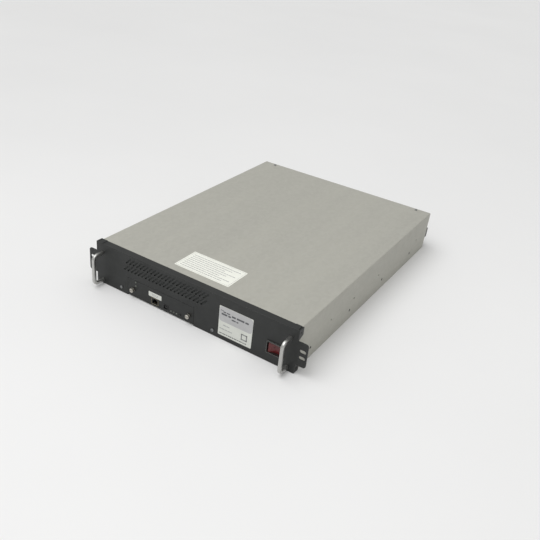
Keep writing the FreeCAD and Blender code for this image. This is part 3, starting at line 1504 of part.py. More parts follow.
os.makedirs("parts", exist_ok=True)
for node_name, make in nodes().items():
    save(node_name, make())
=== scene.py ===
"""Looks, light and camera for a two-unit rack-mount uninterruptible power supply.

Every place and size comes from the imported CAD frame, in metres, or from a named value in
millimetres. X runs to the right as seen from the front, Y to the rear and Z up.
"""
from __future__ import annotations

import json
import logging
import math
import random
from dataclasses import dataclass, field
from enum import Enum
from typing import Any, Iterable, Sequence

import bmesh
import bpy
from mathutils import Matrix, Vector

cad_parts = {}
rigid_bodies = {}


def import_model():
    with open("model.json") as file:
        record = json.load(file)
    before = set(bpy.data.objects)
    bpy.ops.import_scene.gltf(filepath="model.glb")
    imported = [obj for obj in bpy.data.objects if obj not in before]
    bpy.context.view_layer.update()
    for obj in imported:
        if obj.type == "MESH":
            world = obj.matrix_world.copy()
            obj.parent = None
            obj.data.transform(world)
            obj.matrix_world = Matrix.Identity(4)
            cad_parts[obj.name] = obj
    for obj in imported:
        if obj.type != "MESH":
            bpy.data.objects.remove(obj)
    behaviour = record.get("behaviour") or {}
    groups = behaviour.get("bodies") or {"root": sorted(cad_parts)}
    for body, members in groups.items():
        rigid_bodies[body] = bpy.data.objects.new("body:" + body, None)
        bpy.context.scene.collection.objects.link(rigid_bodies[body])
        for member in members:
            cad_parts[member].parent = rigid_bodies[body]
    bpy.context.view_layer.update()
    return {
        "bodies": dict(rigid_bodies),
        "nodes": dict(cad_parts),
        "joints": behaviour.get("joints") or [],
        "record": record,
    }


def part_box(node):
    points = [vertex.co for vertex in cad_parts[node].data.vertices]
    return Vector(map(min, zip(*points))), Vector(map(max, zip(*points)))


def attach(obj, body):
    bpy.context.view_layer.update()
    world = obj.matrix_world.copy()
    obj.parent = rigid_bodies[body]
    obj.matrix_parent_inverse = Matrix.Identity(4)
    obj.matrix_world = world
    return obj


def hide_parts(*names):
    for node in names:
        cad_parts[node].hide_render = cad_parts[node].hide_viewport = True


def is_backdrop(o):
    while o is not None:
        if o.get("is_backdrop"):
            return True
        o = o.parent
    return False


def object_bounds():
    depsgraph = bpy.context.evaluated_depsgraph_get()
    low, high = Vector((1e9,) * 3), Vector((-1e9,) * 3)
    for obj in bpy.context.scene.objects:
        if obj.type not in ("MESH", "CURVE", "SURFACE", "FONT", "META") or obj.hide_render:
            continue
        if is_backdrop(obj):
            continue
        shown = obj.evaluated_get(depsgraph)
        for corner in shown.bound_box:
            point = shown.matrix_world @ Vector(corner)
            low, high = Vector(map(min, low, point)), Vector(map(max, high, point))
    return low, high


LOG = logging.getLogger("power_supply")
MM = 0.001
Rect = tuple[float, float, float, float]
Outline = list[tuple[float, float]]

# The sRGB curve: straight below the knee, a power above it.
SRGB_KNEE = 0.04045
SRGB_SLOPE = 12.92
SRGB_OFFSET = 0.055
SRGB_SCALE = 1.055
SRGB_POWER = 2.4

# Sockets of a Mix node that blends two colours.
MIX_FIRST = 6
MIX_SECOND = 7
MIX_RESULT = 2

# How much of a noise its finer layers carry, and the values between which it mostly lies.
NOISE_ROUGHNESS = 0.55
NOISE_LOW = 0.3
NOISE_HIGH = 0.7
# Numbers of finer layers in the noises for tone, shine, and edge wear with painted highlight.
TONE_DETAIL = 4.0
SHINE_DETAIL = 3.0
EDGE_WEAR_AND_HIGHLIGHT_DETAIL = 3.0
# How many times longer than wide the streaks of tone and the lines of relief are along the grain.
STREAK_STRETCH = 12.0
LINE_STRETCH = 40.0
RELIEF_STRENGTH = 0.6
EDGE_SAMPLES = 4
# How much the softened and the flat normal agree where the edge wear and painted highlight begin
# and where they are full.
EDGE_BEGINS = 0.99
EDGE_FULL = 0.72
# Share of the edge wear and painted highlight that is left in the places where it is thinnest.
EDGE_WEAR_AND_HIGHLIGHT_THIN = 0.25


# ---- colour and node helpers ---------------------------------------------------------------------
def linear(hex_colour: str) -> tuple[float, float, float, float]:
    """Turns an sRGB hex colour into linear RGBA.

    Args:
        hex_colour: Six hex digits, with or without a leading hash.

    Returns:
        Linear red, green, blue and an alpha of one.
    """
    digits = hex_colour.lstrip("#")
    channels = [int(digits[start:start + 2], 16) / 255 for start in (0, 2, 4)]
    values = [channel / SRGB_SLOPE if channel <= SRGB_KNEE
              else ((channel + SRGB_OFFSET) / SRGB_SCALE) ** SRGB_POWER for channel in channels]
    return (values[0], values[1], values[2], 1.0)


def add_node(
    tree: bpy.types.NodeTree,
    kind: str,
    settings: dict[str, Any] | None = None,
    inputs: dict[Any, Any] | None = None,
) -> bpy.types.Node:
    """Adds a shader node with its settings, values and links.

    Args:
        tree: The material's node tree.
        kind: Blender's name for the kind of node.
        settings: Attributes of the node, by name.
        inputs: Values or output sockets for the node's inputs, by name or number.

    Returns:
        The new node.
    """
    node = tree.nodes.new(kind)
    for name, value in (settings or {}).items():
        setattr(node, name, value)
    for key, value in (inputs or {}).items():
        if isinstance(value, bpy.types.NodeSocket):
            tree.links.new(value, node.inputs[key])
        else:
            node.inputs[key].default_value = value
    return node


class Grain(Enum):
    """How a surface was made, which decides the shape of its relief."""

    ROLLED = "rolled sheet: long faint lines along the mill's direction"
    SPRAYED = "sprayed and stoved powder: soft orange peel"
    BRUSHED = "brushed or drawn metal: fine straight scratches"
    MOULDED = "moulded plastic: spark-eroded speckle"
    PRESSED = "pressed or cast powder: coarse granular"
    WOUND = "wound tape or wire: parallel ridges"
    SMOOTH = "film, plating or glass: almost none"


# Finer layers of each noise-like relief, and how many times longer its grains are than wide.
RELIEF_SHAPES: dict[Grain, tuple[float, float]] = {
    Grain.ROLLED: (2.0, LINE_STRETCH), Grain.BRUSHED: (2.0, LINE_STRETCH),
    Grain.SPRAYED: (1.0, 1.0), Grain.MOULDED: (3.0, 1.0), Grain.SMOOTH: (3.0, 1.0),
}
# Widths of a wound turn in one unit of the wave, and how unevenly the turns lie.
RIDGES_PER_BAND = 3.2
RIDGE_WOBBLE = 0.4


@dataclass(frozen=True)
class Finish:
    """One real material with the way its surface was made.

    Patterns are in object space, so their scales are real sizes in millimetres. Moulded speckle,
    brushed scratches and mill lines are really 0.05 to 0.1 mm wide. They are drawn at the grain_mm
    of each finish, as coarse as they need to be to show.

    Attributes:
        name: The material's name: what it is and how its surface was made.
        colour: The main sRGB colour.
        shade: The sRGB colour that it drifts to over its mottle.
        roughness: Middle roughness.
        metallic: One for bare metal, less under a dull coating.
        ior: Index of refraction.
        coat: Weight of a clear gloss over the surface.
        transmission: Share of the light that passes through.
        grain: How the surface was made.
        grain_mm: Size of a grain of the relief.
        relief_mm: Depth of the relief.
        mottle_mm: Size of the patches of tone.
        roughness_swing: How far the roughness drifts to either side.
        shine_share: Size of the patches of shine, as a share of mottle_mm.
        edge_mm: Radius that broken or painted edges seem to have.
        edge_wear_and_highlight: Lighter sRGB colour along edges, part rubbed wear, part painted
            highlight.
        edge_wear_and_highlight_strength: How strongly it shows.
        edge_wear_and_highlight_patch_mm: Size of the patches in which it shows.
        along: The axis of the grain: 0 for X, 1 for Y, 2 for Z.
    """

    name: str
    colour: str
    shade: str
    roughness: float
    metallic: float = 0.0
    ior: float = 1.5
    coat: float = 0.0
    transmission: float = 0.0
    grain: Grain = Grain.SMOOTH
    grain_mm: float = 0.8
    relief_mm: float = 0.01
    mottle_mm: float = 30.0
    roughness_swing: float = 0.06
    shine_share: float = 0.4
    edge_mm: float = 0.3
    edge_wear_and_highlight: str | None = None
    edge_wear_and_highlight_strength: float = 0.5
    edge_wear_and_highlight_patch_mm: float = 6.0
    along: int = 1

    def place(self, tree: bpy.types.NodeTree, stretch: float = 1.0) -> bpy.types.NodeSocket:
        """Gives the pattern's coordinates, squeezed along the grain.

        Args:
            tree: The material's node tree.
            stretch: How many times longer the pattern is along the grain than across it.

        Returns:
            A vector socket in metres.
        """
        scale = [1.0, 1.0, 1.0]
        scale[self.along] = 1.0 / stretch
        coordinates = add_node(tree, "ShaderNodeTexCoord")
        mapping = add_node(tree, "ShaderNodeMapping", inputs={
            "Vector": coordinates.outputs["Object"], "Scale": scale})
        return mapping.outputs["Vector"]

    def patchy(self, tree: bpy.types.NodeTree, size_mm: float, detail: float, low: float,
               high: float, stretch: float = 1.0) -> bpy.types.NodeSocket:
        """Gives a value that varies over the surface in soft patches of a real size.

        Args:
            tree: The material's node tree.
            size_mm: Size of a patch in millimetres.
            detail: Number of finer layers.
            low: Value at one end.
            high: Value at the other end.
            stretch: How many times longer a patch is along the grain than across it.

        Returns:
            The value's socket.
        """
        patches = add_node(tree, "ShaderNodeTexNoise", inputs={
            "Vector": self.place(tree, stretch), "Scale": 1.0 / (size_mm * MM), "Detail": detail,
            "Roughness": NOISE_ROUGHNESS})
        value = add_node(tree, "ShaderNodeMapRange", inputs={
            "Value": patches.outputs["Fac"], "From Min": NOISE_LOW, "From Max": NOISE_HIGH,
            "To Min": low, "To Max": high})
        return value.outputs["Result"]

    def tint(self, tree: bpy.types.NodeTree) -> bpy.types.NodeSocket:
        """Mixes the two colours of the surface over its mottle.

        Args:
            tree: The material's node tree.

        Returns:
            The colour socket.
        """
        stretch = STREAK_STRETCH if self.grain in (Grain.ROLLED, Grain.BRUSHED) else 1.0
        share = self.patchy(tree, self.mottle_mm, TONE_DETAIL, 0.0, 1.0, stretch)
        mix = add_node(tree, "ShaderNodeMix", {"data_type": "RGBA"}, {
            "Factor": share, MIX_FIRST: linear(self.colour), MIX_SECOND: linear(self.shade)})
        return mix.outputs[MIX_RESULT]

    def relief(self, tree: bpy.types.NodeTree) -> bpy.types.NodeSocket:
        """Gives the height pattern of the surface.

        Args:
            tree: The material's node tree.

        Returns:
            A height from 0 to 1.
        """
        scale = 1.0 / (self.grain_mm * MM)
        if self.grain is Grain.WOUND:
            ridges = add_node(tree, "ShaderNodeTexWave", {"bands_direction": "Z"}, {
                "Vector": self.place(tree), "Scale": 1.0 / (self.grain_mm * MM * RIDGES_PER_BAND),
                "Distortion": RIDGE_WOBBLE})
            return ridges.outputs["Fac"]
        if self.grain is Grain.PRESSED:
            grains = add_node(tree, "ShaderNodeTexVoronoi", inputs={
                "Vector": self.place(tree), "Scale": scale})
            return grains.outputs["Distance"]
        detail, stretch = RELIEF_SHAPES[self.grain]
        pattern = add_node(tree, "ShaderNodeTexNoise", inputs={
            "Vector": self.place(tree, stretch), "Scale": scale, "Detail": detail,
            "Roughness": NOISE_ROUGHNESS})
        return pattern.outputs["Fac"]

    def wear_and_highlight_edges(self, tree: bpy.types.NodeTree, colour: bpy.types.NodeSocket,
             edge: bpy.types.Node) -> bpy.types.NodeSocket:
        """Lets the edges take the lighter colour in patches: part rubbed wear, part painted
        highlight.

        Args:
            tree: The material's node tree.
            colour: Colour of the surface away from its edges.
            edge: The node that gives the softened normal.

        Returns:
            The colour with its lighter edges.
        """
        flat = add_node(tree, "ShaderNodeNewGeometry")
        alike = add_node(tree, "ShaderNodeVectorMath", {"operation": "DOT_PRODUCT"}, {
            0: edge.outputs["Normal"], 1: flat.outputs["Normal"]})
        bend = add_node(tree, "ShaderNodeMapRange", inputs={
            "Value": alike.outputs["Value"], "From Min": EDGE_BEGINS, "From Max": EDGE_FULL,
            "To Min": 0.0, "To Max": self.edge_wear_and_highlight_strength})
        patch = self.patchy(tree, self.edge_wear_and_highlight_patch_mm, EDGE_WEAR_AND_HIGHLIGHT_DETAIL, EDGE_WEAR_AND_HIGHLIGHT_THIN, 1.0)
        share = add_node(tree, "ShaderNodeMath", {"operation": "MULTIPLY"}, {
            0: bend.outputs["Result"], 1: patch})
        mix = add_node(tree, "ShaderNodeMix", {"data_type": "RGBA"}, {
            "Factor": share.outputs[0], MIX_FIRST: colour,
            MIX_SECOND: linear(self.edge_wear_and_highlight or self.colour)})
        return mix.outputs[MIX_RESULT]

    def make(self) -> bpy.types.Material:
        """Builds the material, once.

        Returns:
            The finished material.
        """
        known = bpy.data.materials.get(self.name)
        if known is not None:
            return known
        material = bpy.data.materials.new(self.name)
        material.use_nodes = True
        tree = material.node_tree
        tree.nodes.clear()
        edge = add_node(tree, "ShaderNodeBevel", {"samples": EDGE_SAMPLES}, {
            "Radius": self.edge_mm * MM})
        colour = self.tint(tree)
        # Edges are lightened here: partly rubbed wear, partly a painted highlight.
        if self.edge_wear_and_highlight is not None:
            colour = self.wear_and_highlight_edges(tree, colour, edge)
        shine = self.patchy(tree, self.mottle_mm * self.shine_share, SHINE_DETAIL,
                            self.roughness - self.roughness_swing,
                            self.roughness + self.roughness_swing)
        bump = add_node(tree, "ShaderNodeBump", inputs={
            "Strength": RELIEF_STRENGTH, "Distance": self.relief_mm * MM,
            "Height": self.relief(tree), "Normal": edge.outputs["Normal"]})
        shader = add_node(tree, "ShaderNodeBsdfPrincipled", inputs={
            "Base Color": colour, "Roughness": shine, "Normal": bump.outputs["Normal"],
            "Metallic": self.metallic, "IOR": self.ior, "Coat Weight": self.coat,
            "Transmission Weight": self.transmission})
        add_node(tree, "ShaderNodeOutputMaterial", inputs={"Surface": shader.outputs["BSDF"]})
        return material


@dataclass(frozen=True)
class CircuitBoard(Finish):
    """Glass-epoxy board under green solder resist, with the copper tracks as paler lines."""

    track: str = "3f7d4c"
    track_mm: float = 1.2
    track_width: float = 0.16
    track_length: float = 9.0
    track_shift: float = 0.37
    track_blur: float = 0.2
    rows_per_shift: int = 3

    def tint(self, tree: bpy.types.NodeTree) -> bpy.types.NodeSocket:
        """Draws the tracks under the resist.

        Args:
            tree: The material's node tree.

        Returns:
            The colour socket.
        """
        ground = super().tint(tree)
        cell = self.track_mm * MM
        tracks = add_node(tree, "ShaderNodeTexBrick", {
            "offset": self.track_shift, "offset_frequency": self.rows_per_shift}, {
            "Vector": self.place(tree), "Scale": 1.0, "Mortar Size": cell * self.track_width,
            "Mortar Smooth": self.track_blur, "Brick Width": cell * self.track_length,
            "Row Height": cell, "Bias": 0.0})
        mix = add_node(tree, "ShaderNodeMix", {"data_type": "RGBA"}, {
            "Factor": tracks.outputs["Fac"], MIX_FIRST: ground, MIX_SECOND: linear(self.track)})
        return mix.outputs[MIX_RESULT]


@dataclass(frozen=True)
class ZincSheet(Finish):
    """Zinc-coated steel: a fine dull spangle over the long lines of the rolling mill."""

    spangle_mm: float = 5.0
    spangle: str = "bdbcb4"
    spangle_share: float = 0.3
    spangle_stretch: float = 1.6

    def tint(self, tree: bpy.types.NodeTree) -> bpy.types.NodeSocket:
        """Lays faint crystals over the mottle of the coating.

        Args:
            tree: The material's node tree.

        Returns:
            The colour socket.
        """
        ground = super().tint(tree)
        crystals = add_node(tree, "ShaderNodeTexVoronoi", inputs={
            "Vector": self.place(tree, self.spangle_stretch),
            "Scale": 1.0 / (self.spangle_mm * MM), "Randomness": 1.0})
        grey = add_node(tree, "ShaderNodeSeparateColor", inputs={
            "Color": crystals.outputs["Color"]})
        share = add_node(tree, "ShaderNodeMath", {"operation": "MULTIPLY"}, {
            0: grey.outputs[0], 1: self.spangle_share})
        mix = add_node(tree, "ShaderNodeMix", {"data_type": "RGBA"}, {
            "Factor": share.outputs[0], MIX_FIRST: ground, MIX_SECOND: linear(self.spangle)})
        return mix.outputs[MIX_RESULT]


# Zinc-coated mild steel, cold rolled: a warm satin grey that looks almost even from a distance.
# Its edges are lightened to a paler grey as a painted highlight.
ZINC_STEEL = ZincSheet(
    "zinc_coated_steel_rolled", "b2b1a8", "acaba3", 0.62, metallic=0.3, grain=Grain.ROLLED,
    grain_mm=0.9, relief_mm=0.012, mottle_mm=60.0, edge_wear_and_highlight="d2d0c8", edge_wear_and_highlight_strength=0.6, edge_mm=0.5)
# Polyester powder on steel, sprayed and stoved: near black and dull, with a fine peel that
# softens light.
BLACK_POWDER = Finish(
    "black_powder_coat_sprayed", "1f2120", "1a1c1b", 0.5, grain=Grain.SPRAYED, grain_mm=0.9,
    relief_mm=0.02, mottle_mm=45.0, edge_wear_and_highlight="4c4e4c", edge_wear_and_highlight_strength=0.45, edge_mm=0.6)
# Aluminium bar, brushed along its length and clear anodised: pale, bright and slightly streaked.
# Its edges go near white as a painted highlight.
ANODISED_BAR = Finish(
    "clear_anodised_aluminium_brushed", "c4c4c1", "b6b6b3", 0.36, metallic=1.0, grain=Grain.BRUSHED,
    grain_mm=0.25, relief_mm=0.006, mottle_mm=12.0, edge_wear_and_highlight="f2f2f0", edge_mm=0.3, along=2)
# Zinc-plated steel screws, turned: blue-white metal with dark recesses.
PLATED_SCREW = Finish(
    "zinc_plated_steel_turned", "c3c6c8", "b2b5b8", 0.32, metallic=1.0, grain=Grain.BRUSHED,
    grain_mm=0.2, relief_mm=0.005, mottle_mm=3.0, edge_mm=0.2)
# Steel screws with a black oxide: dull with a trace of brown.
BLACK_SCREW = Finish(
    "black_oxide_steel_turned", "2a2927", "211f1e", 0.45, metallic=0.8, grain=Grain.BRUSHED,
    grain_mm=0.2, relief_mm=0.005, mottle_mm=3.0, edge_wear_and_highlight="6b6966", edge_mm=0.15)
# Nickel-plated steel or brass, turned and tumbled: warm and bright.
NICKEL_PLATE = Finish(
    "nickel_plated_steel_tumbled", "cbc8c0", "bcb9b1", 0.27, metallic=1.0, grain=Grain.SMOOTH,
    grain_mm=0.4, relief_mm=0.004, mottle_mm=5.0, edge_wear_and_highlight="e6e4de", edge_mm=0.2)
# Glass-filled nylon and ABS, moulded: charcoal black with an eroded matt texture.
BLACK_PLASTIC = Finish(
    "black_abs_moulded", "202122", "1a1b1b", 0.42, grain=Grain.MOULDED, grain_mm=0.35,
    relief_mm=0.012, mottle_mm=14.0, edge_wear_and_highlight="3c3e3e", edge_wear_and_highlight_strength=0.35, edge_mm=0.4)
# Polycarbonate, moulded smooth: a saturated red with a soft gloss, partly its own colour and partly
# painted shade from the switch's recess.
# Its edges are a lighter, pinker red as a painted highlight.
RED_PLASTIC = Finish(
    "red_polycarbonate_moulded", "661719", "541315", 0.3, coat=0.2, grain=Grain.MOULDED,
    grain_mm=0.5, relief_mm=0.006, mottle_mm=9.0, edge_wear_and_highlight="b3514c", edge_wear_and_highlight_strength=0.6, edge_mm=0.6)
# Polyester label film, printed: an even off-white with a light sheen.
LABEL_FILM = Finish(
    "polyester_label_film_printed", "d7d9d2", "cfd1ca", 0.42, coat=0.1, grain=Grain.SMOOTH,
    grain_mm=1.2, relief_mm=0.01, mottle_mm=18.0, edge_mm=0.08)
# Coated paper label, printed and stuck on: brighter than the film, and flat.
PAPER_LABEL = Finish(
    "coated_paper_label_printed", "f0f1e8", "e8e9e0", 0.55, grain=Grain.SMOOTH, grain_mm=0.9,
    relief_mm=0.015, mottle_mm=14.0, edge_mm=0.08)
# Printed grey of a label's heading band.
BAND_INK = Finish(
    "grey_label_ink_screen_printed", "bbbbbb", "b1b1b2", 0.44, coat=0.1, grain=Grain.SMOOTH,
    grain_mm=1.2, relief_mm=0.008, mottle_mm=15.0, edge_mm=0.05)
# Printed dark characters: ink that is a little thin in places.
TEXT_INK = Finish(
    "dark_label_ink_thermal_printed", "4b4c50", "5d5e61", 0.5, grain=Grain.SMOOTH, grain_mm=0.6,
    relief_mm=0.006, mottle_mm=2.5, edge_mm=0.05)
# Printed mark made of fine dots, which blend to a mid grey.
MARK_INK = Finish(
    "grey_label_ink_thermal_printed", "7b7c7d", "8c8d8d", 0.5, grain=Grain.SMOOTH, grain_mm=0.6,
    relief_mm=0.006, mottle_mm=2.0, edge_mm=0.05)
# Printed pale rules and small characters.
PALE_INK = Finish(
    "pale_label_ink_thermal_printed", "97989a", "a5a6a6", 0.5, grain=Grain.SMOOTH, grain_mm=0.6,
    relief_mm=0.006, mottle_mm=2.5, edge_mm=0.05)
# Glass-epoxy laminate, etched and coated with solder resist.
BOARD_RESIST = CircuitBoard(
    "green_glass_epoxy_etched", "1f5a35", "194c2c", 0.35, coat=0.3, grain=Grain.SMOOTH,
    grain_mm=0.6, relief_mm=0.01, mottle_mm=20.0, edge_mm=0.1)
# ABS battery case, moulded: dark grey with a fine matt texture.
BATTERY_CASE = Finish(
    "grey_abs_battery_case_moulded", "3a3c3e", "323436", 0.5, grain=Grain.MOULDED, grain_mm=0.5,
    relief_mm=0.02, mottle_mm=25.0, edge_wear_and_highlight="55585a", edge_wear_and_highlight_strength=0.3, edge_mm=0.6)
# Cast lead grids and paste, pressed: soft and dull.
LEAD = Finish(
    "lead_cast", "6c6f73", "5f6266", 0.6, metallic=0.9, grain=Grain.PRESSED, grain_mm=1.5,
    relief_mm=0.03, mottle_mm=8.0, edge_mm=0.3)
# Tinned copper blades, stamped.
TINNED_TAB = Finish(
    "tinned_copper_stamped", "c9c9c4", "b9b9b4", 0.3, metallic=1.0, grain=Grain.BRUSHED,
    grain_mm=0.2, relief_mm=0.004, mottle_mm=3.0, edge_mm=0.1)
# Silicone-rubber lead insulation, extruded: dark red-brown with a soft sheen.
LEAD_SLEEVE = Finish(
    "silicone_lead_insulation_extruded", "5b1c1a", "4f1816", 0.48, grain=Grain.MOULDED,
    grain_mm=0.4, relief_mm=0.01, mottle_mm=10.0, edge_mm=0.2)
# Soft ferrite, pressed and sintered: dark with a fine crystal glitter.
FERRITE = Finish(
    "ferrite_sintered", "37393c", "2e3033", 0.5, metallic=0.2, grain=Grain.PRESSED, grain_mm=0.7,
    relief_mm=0.02, mottle_mm=6.0, edge_wear_and_highlight="55585c", edge_mm=0.4)
# Polyester winding tape over wire: amber yellow in narrow turns.
WINDING_TAPE = Finish(
    "polyester_winding_tape_wound", "c2962b", "b3861f", 0.38, coat=0.2, grain=Grain.WOUND,
    grain_mm=2.4, relief_mm=0.08, mottle_mm=9.0, edge_mm=0.4)
# Aluminium heatsink, extruded and left plain.
HEATSINK = Finish(
    "aluminium_extruded", "b9bcbe", "aaadb0", 0.38, metallic=1.0, grain=Grain.BRUSHED,
    grain_mm=0.4, relief_mm=0.01, mottle_mm=20.0, edge_wear_and_highlight="d8dadc", edge_mm=0.3)
# Capacitor can: aluminium in a dark blue shrink sleeve.
CAN_SLEEVE = Finish(
    "blue_pvc_sleeve_shrunk", "1d2f52", "182847", 0.33, coat=0.2, grain=Grain.SMOOTH, grain_mm=0.8,
    relief_mm=0.008, mottle_mm=8.0, edge_mm=0.4)
# Relay case: blue-grey polyester, moulded.
RELAY_CASE = Finish(
    "blue_pbt_relay_case_moulded", "2a3f66", "24375a", 0.42, grain=Grain.MOULDED, grain_mm=0.3,
    relief_mm=0.01, mottle_mm=8.0, edge_mm=0.3)
# Lamp lens: milky polycarbonate that carries the light of the lamp behind it.
LAMP_LENS = Finish(
    "milky_polycarbonate_lens_moulded", "cfd4c9", "bcc2b5", 0.2, coat=0.5, transmission=0.25,
    grain=Grain.SMOOTH, grain_mm=0.5, relief_mm=0.004, mottle_mm=2.0, edge_mm=0.1)
# Natural nylon, moulded: cream and slightly waxy.
NYLON = Finish(
    "natural_nylon_moulded", "d9d5c6", "cfcbbb", 0.45, grain=Grain.MOULDED, grain_mm=0.4,
    relief_mm=0.01, mottle_mm=9.0, edge_mm=0.4)
# Brass, turned.
BRASS = Finish(
    "brass_turned", "c9a65a", "b8954c", 0.3, metallic=1.0, grain=Grain.BRUSHED, grain_mm=0.2,
    relief_mm=0.005, mottle_mm=4.0, edge_wear_and_highlight="dcc07c", edge_mm=0.2)
# Gold flash over nickel on contact wires.
GOLD_CONTACT = Finish(
    "gold_flashed_contact_drawn", "d9b866", "cba955", 0.25, metallic=1.0, grain=Grain.BRUSHED,
    grain_mm=0.1, relief_mm=0.002, mottle_mm=2.0, edge_mm=0.05)
# Zinc-plated screws sunk in the black face: a darker, duller grey than the other screws.
DULL_SCREW = Finish(
    "zinc_plated_steel_darker", "a1a3a4", "8d8f90", 0.46, metallic=1.0, grain=Grain.BRUSHED,
    grain_mm=0.2, relief_mm=0.006, mottle_mm=2.0, edge_wear_and_highlight="a9abac", edge_mm=0.2)
# Unlit lamp lens: smoky polycarbonate that only shows a small soft gleam.
SMOKY_LENS = Finish(
    "smoky_polycarbonate_lens_moulded", "6f736c", "5f635c", 0.28, coat=0.4, transmission=0.15,
    grain=Grain.SMOOTH, grain_mm=0.5, relief_mm=0.004, mottle_mm=2.0, edge_mm=0.1)
# Tin-plated brass shield, stamped: warm and a little yellow where the tin is thin.
SOCKET_SHIELD = Finish(
    "tin_plated_brass_stamped", "b5ac8f", "a0977b", 0.36, metallic=1.0, grain=Grain.BRUSHED,
    grain_mm=0.3, relief_mm=0.004, mottle_mm=4.0, edge_wear_and_highlight="d2c7a0", edge_mm=0.15)
# Glass-filled nylon bezel, moulded in a polished tool: black, with a painted highlight in pale grey
# along its lip.
BEZEL_PLASTIC = Finish(
    "black_nylon_bezel_moulded", "262725", "1f201f", 0.3, coat=0.3, grain=Grain.MOULDED,
    grain_mm=0.3, relief_mm=0.006, mottle_mm=8.0, edge_wear_and_highlight="96968f", edge_wear_and_highlight_strength=0.85, edge_mm=0.8)
# Foam behind the vents: its charcoal is painted shade for the dark seen through the slots.
VENT_SHADE_FOAM = Finish(
    "foam_painted_vent_shade", "4e504f", "3c3e3d", 0.9, grain=Grain.PRESSED, grain_mm=1.1,
    relief_mm=0.5, mottle_mm=5.0, roughness_swing=0.04, edge_mm=0.2)
# Painted studio floor: pale, even and dull.
STUDIO_FLOOR = Finish(
    "studio_floor_painted", "ececec", "e9e9e9", 0.85, grain=Grain.SPRAYED, grain_mm=3.0,
    relief_mm=0.02, mottle_mm=900.0, edge_mm=0.5)

SLOT_FINISHES: dict[str, Finish] = {
    "zinc_steel": ZINC_STEEL, "black_steel": BLACK_POWDER, "aluminium": ANODISED_BAR,
    "screw_steel": PLATED_SCREW, "black_screw": BLACK_SCREW, "nickel": NICKEL_PLATE,
    "black_plastic": BLACK_PLASTIC, "red_plastic": RED_PLASTIC, "label_paper": LABEL_FILM,
    "board": BOARD_RESIST, "battery_plastic": BATTERY_CASE, "lead": LEAD, "tab_metal": TINNED_TAB,
    "lead_insulation": LEAD_SLEEVE, "ferrite": FERRITE, "winding_tape": WINDING_TAPE,
    "heatsink": HEATSINK, "can": CAN_SLEEVE, "relay_plastic": RELAY_CASE, "lamp_lens": LAMP_LENS,
    "nylon": NYLON, "brass": BRASS,
}

# Nodes whose surface differs from that of the rest of their slot.
OWN_FINISHES: dict[str, Finish] = {
    "panel_screws": DULL_SCREW, "card_lamps": SMOKY_LENS, "top_label": PAPER_LABEL,
    "reset_button": BLACK_PLASTIC, "rocker_housing": BEZEL_PLASTIC,
}


# ---- mesh helpers --------------------------------------------------------------------------------
class Facing(Enum):
    """Which way a flat print or a front plate faces."""

    FRONT = "front"
    UP = "up"

    def matrix(self, origin: Vector) -> Matrix:
        """Places a drawing whose first axis is X and whose second is up the sheet.

        Args:
            origin: Where the drawing's own origin goes, in metres.

        Returns:
            The matrix from the drawing (x, y up the sheet, z out of it) to the frame.
        """
        if self is Facing.UP:
            return Matrix.Translation(origin)
        turn = Matrix(((1, 0, 0, 0), (0, 0, -1, 0), (0, 1, 0, 0), (0, 0, 0, 1)))
        return Matrix.Translation(origin) @ turn


def add_piece(name: str, mesh: bmesh.types.BMesh, finish: Finish, body: str) -> bpy.types.Object:
    """Turns a mesh into a finished piece that rides on a body.

    Args:
        name: The piece's name.
        mesh: Its geometry in the frame, which is freed.
        finish: Its material.
        body: The CAD body that it moves with.

    Returns:
        The new object.
    """
    bmesh.ops.recalc_face_normals(mesh, faces=mesh.faces)
    data = bpy.data.meshes.new(name)
    mesh.to_mesh(data)
    mesh.free()
    piece = bpy.data.objects.new(name, data)
    bpy.context.scene.collection.objects.link(piece)
    data.materials.append(finish.make())
    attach(piece, body)
    LOG.info("piece %s: %d faces, %s", name, len(data.polygons), finish.name)
    return piece


def solid_outline(mesh: bmesh.types.BMesh, outer: Outline, holes: Sequence[Outline],
                  thickness: float, matrix: Matrix) -> None:
    """Adds a plate with holes: the outline filled, then given its thickness.

    Args:
        mesh: The mesh to add to.
        outer: Corners of the outline, in metres.
        holes: Corners of each hole.
        thickness: Depth behind the outline's plane, in metres.
        matrix: From the drawing to the frame.
    """
    edges = []
    for loop in (outer, *holes):
        corners = [mesh.verts.new((x, y, 0.0)) for x, y in loop]
        edges += [mesh.edges.new((a, b)) for a, b in zip(corners, corners[1:] + corners[:1])]
    filled = bmesh.ops.triangle_fill(mesh, use_beauty=True, use_dissolve=False, edges=edges)
    faces = [item for item in filled["geom"] if isinstance(item, bmesh.types.BMFace)]
    grown = bmesh.ops.extrude_face_region(mesh, geom=faces)
    back = [item for item in grown["geom"] if isinstance(item, bmesh.types.BMVert)]
    bmesh.ops.translate(mesh, verts=back, vec=(0.0, 0.0, -thickness))
    front = {vert for edge in edges for vert in edge.verts}
    bmesh.ops.transform(mesh, matrix=matrix, verts=list(front | set(back)))


def rectangle(rect: Rect, corner: float = 0.0, steps: int = 3) -> Outline:
    """Corners of a rectangle, each rounded by an arc.

    Args:
        rect: Left, right, low and high.
        corner: Radius of the corners.
        steps: Straight steps in each rounded corner.

    Returns:
        The outline's points in order.
    """
    left, right, low, high = rect
    if corner <= 0:
        return [(left, low), (right, low), (right, high), (left, high)]
    points = []
    centres = [(right - corner, high - corner, 0), (left + corner, high - corner, 90),
               (left + corner, low + corner, 180), (right - corner, low + corner, 270)]
    for x, y, start in centres:
        for step in range(steps + 1):
            angle = math.radians(start + 90 * step / steps)
            points.append((x + corner * math.cos(angle), y + corner * math.sin(angle)))
    return points


def scaled(outline: Iterable[tuple[float, float]]) -> Outline:
    """Turns an outline in millimetres into metres."""
    return [(x * MM, y * MM) for x, y in outline]


